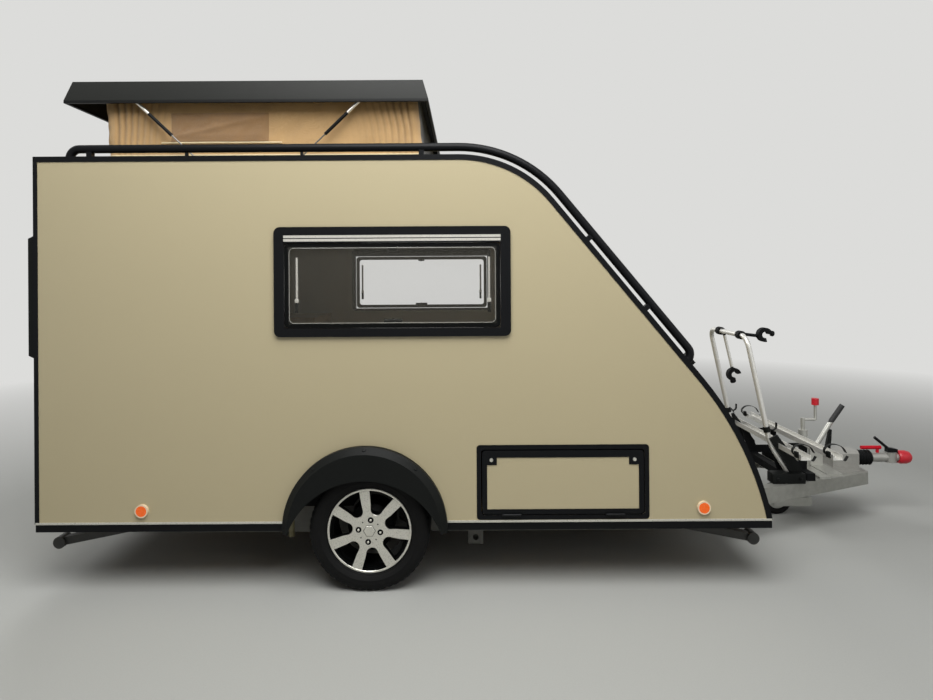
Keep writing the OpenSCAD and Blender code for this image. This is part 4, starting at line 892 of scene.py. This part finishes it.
def tent_bulge(p, from_corner, v):
    """How far the cloth stands out at a place: pleats by the corners, slack between, and small creases."""
    pleats = PLEAT_DEPTH * pleat(p, from_corner, v)
    slack = -SLACK * sin(pi * v) * (1.0 - SLACK_LOSS * gathered(from_corner))
    drift = DRIFT * noise_at(p, v, DRIFT_WAVES)
    level, upward = CREASE_WAVES
    slant = Vector((p.x * level - CREASE_SLANT * v, p.y * level, v * upward))
    crease = CREASE * (CREASE_LEVEL - abs(lattice.noise(slant))) + WRINKLE * lattice.noise(WRINKLE_SCALE * slant)
    return min(BULGE_LIMIT, pleats + slack + drift + crease)


def tent_point(bottom, top, outward, from_corner, v, z0, z1, lift=0.0):
    """A place on the cloth at a share of the height, lifted off it."""
    flat = bottom.lerp(top, v)
    held = sin(pi * min(1.0, HELD_FOOT + HELD_SPAN * v))
    p = flat + (tent_bulge(flat, from_corner, v) * held + lift) * outward
    return Vector((p.x, p.y, z0 + v * (z1 - z0)))


def make_tent():
    """The cloth from the hatch frame to the lid: tan, with a grey front and a pale hem."""
    low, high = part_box("tent")
    z0, z1 = low.z, high.z
    half = high.y
    foot = round_loop(low.x + TENT_LEAN_REAR, high.x, half, TENT_CORNER, TENT_COLUMNS)
    head = round_loop(low.x, high.x - TENT_LEAN_FRONT, half, TENT_CORNER, TENT_COLUMNS)
    rows = [[tent_point(b[0], t[0], b[1], b[2], v, z0, z1) for b, t in zip(foot, head)]
            for v in (i / TENT_ROWS for i in range(TENT_ROWS + 1))]
    shape = Shape().rings(rows, caps=False)
    shape.slots = [1 if b[1].x > FRONT_FACE else 2 if (i + 0.5) / TENT_ROWS < TENT_HEM else 0
                   for i in range(TENT_ROWS) for b in foot]
    tent = shape.piece("tent_cloth", ROOT, "tan_cloth_shaded_folds", "grey_cloth", "pale_cloth", sharp_deg=NEVER)
    # Painted shade for the tan cloth: how deep each point lies in a pleat's valley
    valley_shade = tent.data.attributes.new(FOLD_SHADING, "FLOAT", "POINT")
    valley_shade.data.foreach_set("value", [max(0.0, -pleat(b[0].lerp(t[0], i / TENT_ROWS), b[2], i / TENT_ROWS))
                                       for i in range(TENT_ROWS + 1) for b, t in zip(foot, head)])
    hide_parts("tent")
    squash_with_lid(tent)
    for side, sign in SIDES:
        make_flap(side, sign, half, z0, z1)


def squash_with_lid(piece):
    """Gives a piece of the tent its own copy of its mesh."""
    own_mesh(piece)


FLAP_X, FLAP_SHARES = (-1.914, -1.394), (0.275, 0.65)
FLAP_COLUMNS, FLAP_ROWS, FLAP_RIM = 60, 20, 4.0
# Lifts off the tent: at the rim, then inside it, on the fold and on the waves
RIM_LIFT, FLAP_LIFT, FOLD_LIFT, WAVE_LIFT = 0.0025, 0.003, 0.005, 0.004
# The slanted fold: where it starts, its slope, half width and sharpness
FOLD_START, FOLD_SLOPE, FOLD_HALF, FOLD_POWER = 0.15, 0.75, 0.16, 1.5
FLAP_WAVES, FLAP_SEED = (5.0, 3.5), 2.0
# The zip line: radius, steps, how far it starts before the flap, its extra length, drop and lift
ZIP_RADIUS, ZIP_STEPS, ZIP_BEFORE, ZIP_EXTRA, ZIP_DROP, ZIP_LIFT = 0.0045, 40, 0.05, 0.12, 0.015, 0.003


def make_flap(side, sign, half, z0, z1):
    """The darker window flap on a long side of the tent, with its pale zip line under it."""
    outward = Vector((0, sign))
    width, share = FLAP_X[1] - FLAP_X[0], FLAP_SHARES[1] - FLAP_SHARES[0]

    def on_tent(x, v, lift):
        at = Vector((x, sign * half))
        return tent_point(at, at, outward, 1.0, v, z0, z1, lift)

    rows = []
    for i in range(FLAP_ROWS + 1):
        v = FLAP_SHARES[0] + share * i / FLAP_ROWS
        row = []
        for k in range(FLAP_COLUMNS + 1):
            u = k / FLAP_COLUMNS
            edge = min(1.0, min(k, FLAP_COLUMNS - k, i, FLAP_ROWS - i) / FLAP_RIM)
            fold = max(0.0, 1.0 - abs(i / FLAP_ROWS - FOLD_START - FOLD_SLOPE * u) / FOLD_HALF) ** FOLD_POWER
            at = Vector((FLAP_WAVES[0] * u, FLAP_WAVES[1] * i / FLAP_ROWS, FLAP_SEED))
            wave = 0.5 + 0.5 * lattice.noise(at)
            lift = RIM_LIFT + edge * (FLAP_LIFT + FOLD_LIFT * fold + WAVE_LIFT * wave)
            row.append(on_tent(FLAP_X[0] + width * u, v, lift))
        rows.append(row)
    flap = Shape().rings(rows, wrap=False, flip=sign > 0)
    obj = flap.piece("tent_flap_" + side, ROOT, "flap_cloth", sharp_deg=NEVER)
    squash_with_lid(obj)
    zip_x = [FLAP_X[0] - ZIP_BEFORE + (width + ZIP_EXTRA) * k / ZIP_STEPS for k in range(ZIP_STEPS + 1)]
    roll = Shape().tube([on_tent(x, FLAP_SHARES[0] - ZIP_DROP, ZIP_LIFT) for x in zip_x], ZIP_RADIUS, WIRE_SIDES)
    line = roll.piece("tent_zip_" + side, ROOT, "pale_cloth")
    squash_with_lid(line)


# Mattress

MATTRESS_EDGE, MATTRESS_CROWN = 0.035, 0.012
# The head end leans back under the nose
MATTRESS_LEAN = 0.055
EDGE_STEPS, EDGE_ROUND = 4, 0.5
CUT_OVER, CUTS = 0.3, 24
TOP_DEPTH, QUILTS, QUILT_SHARE = 0.03, (6, 10), 0.4


def make_mattress():
    """A foam mattress with round edges, a crowned top and quilted squares."""
    low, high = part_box("mattress")
    bm = bmesh.new()
    bmesh.ops.create_cube(bm, size=1.0)
    for v in bm.verts:
        head = high.x - MATTRESS_LEAN if v.co.z > 0 else high.x
        v.co = Vector((low.x if v.co.x < 0 else head, low.y if v.co.y < 0 else high.y,
                       low.z if v.co.z < 0 else high.z - MATTRESS_CROWN))
    bmesh.ops.bevel(bm, geom=bm.edges[:], offset=MATTRESS_EDGE, segments=EDGE_STEPS, affect="EDGES",
                    profile=EDGE_ROUND)
    bmesh.ops.subdivide_edges(bm, edges=[e for e in bm.edges if e.calc_length() > CUT_OVER], cuts=CUTS,
                              use_grid_fill=True)
    for v in bm.verts:
        u = (v.co.x - low.x) / (high.x - low.x)
        w = (v.co.y - low.y) / (high.y - low.y)
        if v.co.z > high.z - TOP_DEPTH:
            quilt = abs(sin(QUILTS[0] * pi * u)) * abs(sin(QUILTS[1] * pi * w))
            v.co.z += MATTRESS_CROWN * (QUILT_SHARE * quilt + (1 - QUILT_SHARE) * sin(pi * u) * sin(pi * w))
    obj = Shape().take(bm).piece("mattress_pad", ROOT, "pale_cloth", sharp_deg=NEVER)
    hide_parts("mattress")


# Trim on the walls

STRIP_Z, STRIP_OUT, STRIP_SUNK, STRIP_EDGE = (0.3405, 0.3515), 0.0035, 0.0002, 0.0012


def make_foot_strips():
    """Bright strips along the foot of both walls, on each side of the wheel arch."""
    low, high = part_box("side_wall_right")
    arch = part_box("wheel_arches")
    strips = Shape()
    for x0, x1 in ((low.x, arch[0].x), (arch[1].x, high.x)):
        strips.slab((0, low.y, 0), (x0, -STRIP_OUT, STRIP_Z[0]), (x1, STRIP_SUNK, STRIP_Z[1]), STRIP_EDGE)
    strips.mirrored().piece("foot_strips", ROOT, "bright")


ARCH_Z = 0.318
SCREW_RADIUS, SCREW_OUT, SCREW_DEGREES = 0.39, 0.043, (50, 90, 130)
SCREW = [(0.009, -0.003), (0.009, 0.001), (0.007, 0.003), (0.0, 0.004)]


def make_arch_screws():
    low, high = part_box("wheel_arches")
    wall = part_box("side_wall_right")[0].y
    screws = Shape()
    for deg in SCREW_DEGREES:
        a = radians(deg)
        radial = Vector((cos(a), 0, sin(a)))
        at = Vector(((low.x + high.x) / 2, wall - SCREW_OUT, ARCH_Z)) + SCREW_RADIUS * radial
        screws.lathe(SCREW, at, radial - Y, SMALL_SIDES)
    screws.mirrored().piece("arch_screws", ROOT, "black")


PIPE_AT, PIPE_FOOT, PIPE_WAIST = (-1.245, -0.9), 0.228, 0.0144
# The pipe's profile: from the floor down, from its foot up, and the blind end of its bore
PIPE_HEAD = [(0.012, 0.0), (0.016, 0.0), (0.016, -0.024), (PIPE_WAIST, -0.028)]
PIPE_TAIL = [(PIPE_WAIST, 0.012), (0.016, 0.008), (0.016, 0.0), (0.012, 0.0)]
PIPE_BORE = [(0.012, -0.02)]


def make_drain_pipe():
    """A waste pipe that hangs from the floor behind the wheel."""
    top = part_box("floor_panel")[0].z
    profile = PIPE_HEAD + [(r, PIPE_FOOT - top + h) for r, h in PIPE_TAIL] + PIPE_BORE
    Shape().lathe(profile, (*PIPE_AT, top), Z).piece("drain_pipe", ROOT, "khaki")


RAIL_RADIUS = 0.021
POST_X, POST = (-1.728, -1.158), ((-0.007, -0.007, -0.001), (0.007, 0.007, 0.026))


def make_rail_posts():
    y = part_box("roof_rails")[0].y + RAIL_RADIUS
    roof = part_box("edge_trims")[1].z
    posts = Shape()
    for x in POST_X:
        posts.slab((x, y, roof), *POST)
    posts.mirrored().piece("rail_posts", ROOT, "black")


# Small pieces on the carrier and the drawbar

TRAY_W = 0.056
STRAP_IN, STRAP_W, STRAP_T = 0.038, 0.022, 0.003
# Places of a wheel strap from the middle of its tray's top
STRAP_LOOP = [(-0.03, -0.02), (-0.056, 0.004), (-0.054, 0.03), (-0.028, 0.049), (0.01, 0.05), (0.044, 0.034),
              (0.064, 0.004)]
STRAP_TAIL = [(0.029, -0.012), (0.04, -0.034), (0.058, -0.04), (0.074, -0.016)]
# Buckles on the sides of a tray: two corners and the bevel
RATCHET = ((-0.014, -0.016, -0.022), (0.0, 0.016, 0.012), 0.003)
HOOK = ((0.0, -0.014, -0.024), (0.008, 0.014, -0.002), 0.002)


def make_straps():
    """Ratchet straps that stand open on the wheel trays, with their buckles."""
    low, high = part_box("rack_rails")
    half = TRAY_W / 2
    straps = Shape()
    y = low.y + STRAP_IN
    for x in (low.x + half, high.x - half):
        for path in (STRAP_LOOP, STRAP_TAIL):
            straps.strap(curve_through([(x + a, y, high.z + b) for a, b in path]), Y, STRAP_W, STRAP_T)
        straps.slab((x - half, y, high.z), *RATCHET)
        straps.slab((x + half, y, high.z), *HOOK)
    straps.mirrored().piece("tray_straps", ROOT, "black")


HOOP_RADIUS = 0.015
HOOP_KNEE, HOOP_LEAN = (1.47, 0.575), radians(12)
COLLAR_Z = 0.612
COLLAR = [(0.0153, -0.017), (0.0205, -0.015), (0.0205, 0.0), (0.0205, 0.015), (0.0153, 0.017)]
# The lever's places in front of a collar, its width and thickness
LEVER, LEVER_W, LEVER_T = [(0.018, 0.0), (0.04, -0.004), (0.056, 0.01), (0.058, 0.04)], 0.016, 0.006


def make_collars():
    """Black collars on the legs of the hoop, each with a small lever."""
    up = Vector((-sin(HOOP_LEAN), 0, cos(HOOP_LEAN)))
    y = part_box("rack_hoop")[0].y + HOOP_RADIUS
    at = Vector((HOOP_KNEE[0], y, HOOP_KNEE[1])) + (COLLAR_Z - HOOP_KNEE[1]) / up.z * up
    collars = Shape().lathe(COLLAR, at, up)
    collars.strap(curve_through([at + x * X + z * Z for x, z in LEVER]), Y, LEVER_W, LEVER_T)
    collars.mirrored().piece("hoop_collars", ROOT, "black")


# Outline of the guard on the front of the handbrake, in X and Z
GUARD = [(1.975, 0.418), (2.004, 0.418), (2.01, 0.47), (2.014, 0.54), (2.000, 0.54)]
GUARD_HALF = 0.011


def make_brake_guard():
    rows = [[(x, y, z) for x, z in GUARD] for y in (-GUARD_HALF, GUARD_HALF)]
    Shape().rings(rows).piece("brake_guard", ROOT, "black", sharp_deg=CRISP)


# Outline of the slanted arm beside each leg of the hoop, in X and Z, and the foot block under it
ARM = [(1.59, 0.358), (1.655, 0.358), (1.655, 0.392), (1.512, 0.585), (1.468, 0.56)]
ARM_T, ARM_GAP = 0.018, 0.001
FOOT_X, FOOT_OUT, FOOT_W, FOOT_H, FOOT_EDGE = (1.47, 1.665), 0.03, 0.08, 0.06, 0.004
FOOT_BOLT, FOOT_BOLT_IN = [(0.009, 0.0), (0.009, 0.006), (0.006, 0.009), (0.0, 0.009)], 0.03


def make_carrier_arms():
    """Black arms from the feet on the drawbar to the knees of the hoop."""
    y0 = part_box("rack_hoop")[0].y - ARM_T - ARM_GAP
    y1 = y0 - FOOT_OUT
    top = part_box("drawbar_members")[1].z
    arms = Shape().rings([[(x, y, z) for x, z in ARM] for y in (y0, y0 + ARM_T)])
    arms.slab((0, y1, top), (FOOT_X[0], 0, 0), (FOOT_X[1], FOOT_W, FOOT_H), FOOT_EDGE)
    for x in (FOOT_X[0] + FOOT_BOLT_IN, FOOT_X[1] - FOOT_BOLT_IN):
        arms.lathe(FOOT_BOLT, (x, y1, top + FOOT_H / 2), -Y, BOLT_SIDES)
    arms.mirrored().piece("carrier_arms", ROOT, "black", sharp_deg=CRISP)


KNOB = [(0.006, 0.0), (0.0165, 0.002), (0.0175, 0.006), (0.0175, 0.016), (0.015, 0.02), (0.0, 0.022)]
# Places of the knobs on the two claws, and the way each points
CLAW_KNOBS = (((1.528, -0.205, 1.184), (1, 0, -0.15)), ((1.424, 0.115, 0.848), (0.25, 0, -1)))


def make_claw_knobs():
    knobs = Shape()
    for at, way in CLAW_KNOBS:
        knobs.lathe(KNOB, at, way, KNOB_SIDES)
    knobs.piece("claw_knobs", ROOT, "black", sharp_deg=FIRM)


HANDLE, HANDLE_RADIUS = [(1.803, 0.0, 0.33), (1.78, 0.0, 0.365), (1.766, 0.0, 0.42)], 0.006
HANDLE_KNOB = [(0.008, -0.004), (0.0125, 0.0), (0.0135, 0.012), (0.0115, 0.024), (0.0, 0.028)]


def make_clamp_handle():
    """The jockey clamp's handle with its red knob."""
    handle = Shape().tube(curve_through(HANDLE), HANDLE_RADIUS)
    handle.lathe(HANDLE_KNOB, HANDLE[-1], Z, slot=1)
    handle.piece("clamp_handle", ROOT, "bright", "red")


# Windows and locker

STAY_INSET, STAY_Z, STAY_DEPTH, STAY_RADIUS = 0.055, (1.44, 1.643), 0.03, 0.007
# A stay's foot and the block under it, from its lower end, then the lower and the upper latch
STAY_FOOT = ((-0.01, -0.006, -0.02), (0.01, 0.006, 0.0))
STAY_BLOCK = ((-0.008, -0.008, -0.07), (0.008, 0.008, -0.02))
LOW_LATCH, LOW_LATCH_UP = ((-0.046, -0.008, -0.009), (0.046, 0.012, 0.009), 0.003), 0.034
HIGH_LATCH, HIGH_LATCH_DOWN = ((-0.024, -0.008, -0.009), (0.024, 0.012, 0.009), 0.003), 0.03
LATCH_KNOB, LATCH_KNOB_IN = [(0.012, 0.0), (0.012, 0.012), (0.009, 0.016), (0, 0.016)], 0.01
# The bevel's inset and corner radius, the radius of the pale wire that paints the bevel's highlight, and the corner
# steps
BEVEL, BEVEL_CORNER, HIGHLIGHT_WIRE, CORNER_STEPS = 0.026, 0.022, 0.0018, 6
# Section of the printed border: depth behind the pane's face, and inset
BORDER = [(0.003, 0.003), (0.003, BEVEL), (0.004, BEVEL), (0.004, 0.003), (0.003, 0.003)]


def pane_loop(low, high, y, inset):
    """A rounded rectangle that follows a window pane's edge at an inset."""
    x0, x1, z0, z1 = low.x + inset, high.x - inset, low.z + inset, high.z - inset
    path = []
    for start, (x, z, sx, sz) in enumerate(((x1, z1, 1, 1), (x0, z1, -1, 1), (x0, z0, -1, -1), (x1, z0, 1, -1))):
        for k in range(CORNER_STEPS + 1):
            a = (start + k / CORNER_STEPS) * QUARTER
            path.append(Vector((x - sx * BEVEL_CORNER + BEVEL_CORNER * cos(a), y,
                                z - sz * BEVEL_CORNER + BEVEL_CORNER * sin(a))))
    return path


def make_window_fittings():
    """Stays and latches inside the side windows, each pane's dark border, and a pale wire along each pane's bevel
    as a painted highlight.
    """
    low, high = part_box("window_panes")
    stays, latches = Shape(), Shape()
    y = low.y + STAY_DEPTH
    for x in (low.x + STAY_INSET, high.x - STAY_INSET):
        stays.tube([(x, y, z) for z in STAY_Z], STAY_RADIUS)
        stays.slab((x, y, STAY_Z[0]), *STAY_FOOT)
        latches.slab((x, y, STAY_Z[0]), *STAY_BLOCK)
    x = (low.x + high.x) / 2
    for z, latch in ((low.z + LOW_LATCH_UP, LOW_LATCH), (high.z - HIGH_LATCH_DOWN, HIGH_LATCH)):
        latches.slab((x, y, z), *latch)
        latches.lathe(LATCH_KNOB, (x, y + LATCH_KNOB_IN, z), Y, SMALL_SIDES)
    # Painted highlight: a pale wire round each pane along its bevel
    ring = pane_loop(low, high, low.y, BEVEL)
    highlight_wires = Shape().tube(ring + [ring[0]], HIGHLIGHT_WIRE, WIRE_SIDES)
    borders = Shape().rings([pane_loop(low, high, low.y + depth, inset) for depth, inset in BORDER], caps=False)
    borders.mirrored().piece("pane_borders", ROOT, "satin", sharp_deg=CRISP)
    stays.mirrored().piece("window_stays", ROOT, "bright")
    latches.mirrored().piece("window_latches", ROOT, "black")
    highlight_wires.mirrored().piece("pane_bevel_highlights", ROOT, "bevel_highlight")


LOCK_INSET, LOCK_OUT = 0.045, 0.003
LOCK = [(0.009, 0.0), (0.009, 0.003), (0.008, 0.0045), (0.006, 0.0045), (0.006, 0.003), (0, 0.003)]
KEY_SLOT = ((-0.001, -0.0045, -0.004), (0.001, -0.002, 0.004), 0.0004)


def make_locker_locks():
    low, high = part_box("locker_door")
    y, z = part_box("locker_panel")[0].y - LOCK_OUT, high.z - LOCK_INSET
    locks = Shape()
    for x in (low.x + LOCK_INSET, high.x - LOCK_INSET):
        locks.lathe(LOCK, (x, y, z), -Y, WELL_SIDES)
        locks.slab((x, y, z), *KEY_SLOT)
    locks.piece("locker_locks", "locker_door", "bright")


make_camera()
make_world()
make_lamps()
make_floor()
make_materials()
paint_nodes()
for side_name, side_sign in SIDES:
    tyre_piece(side_name)
    wheel_piece(side_name, side_sign)
make_tent()
make_mattress()
make_foot_strips()
make_arch_screws()
make_drain_pipe()
make_rail_posts()
make_straps()
make_collars()
make_brake_guard()
make_carrier_arms()
make_claw_knobs()
make_clamp_handle()
make_window_fittings()
make_locker_locks()
bpy.context.scene.view_settings.view_transform = "Standard"
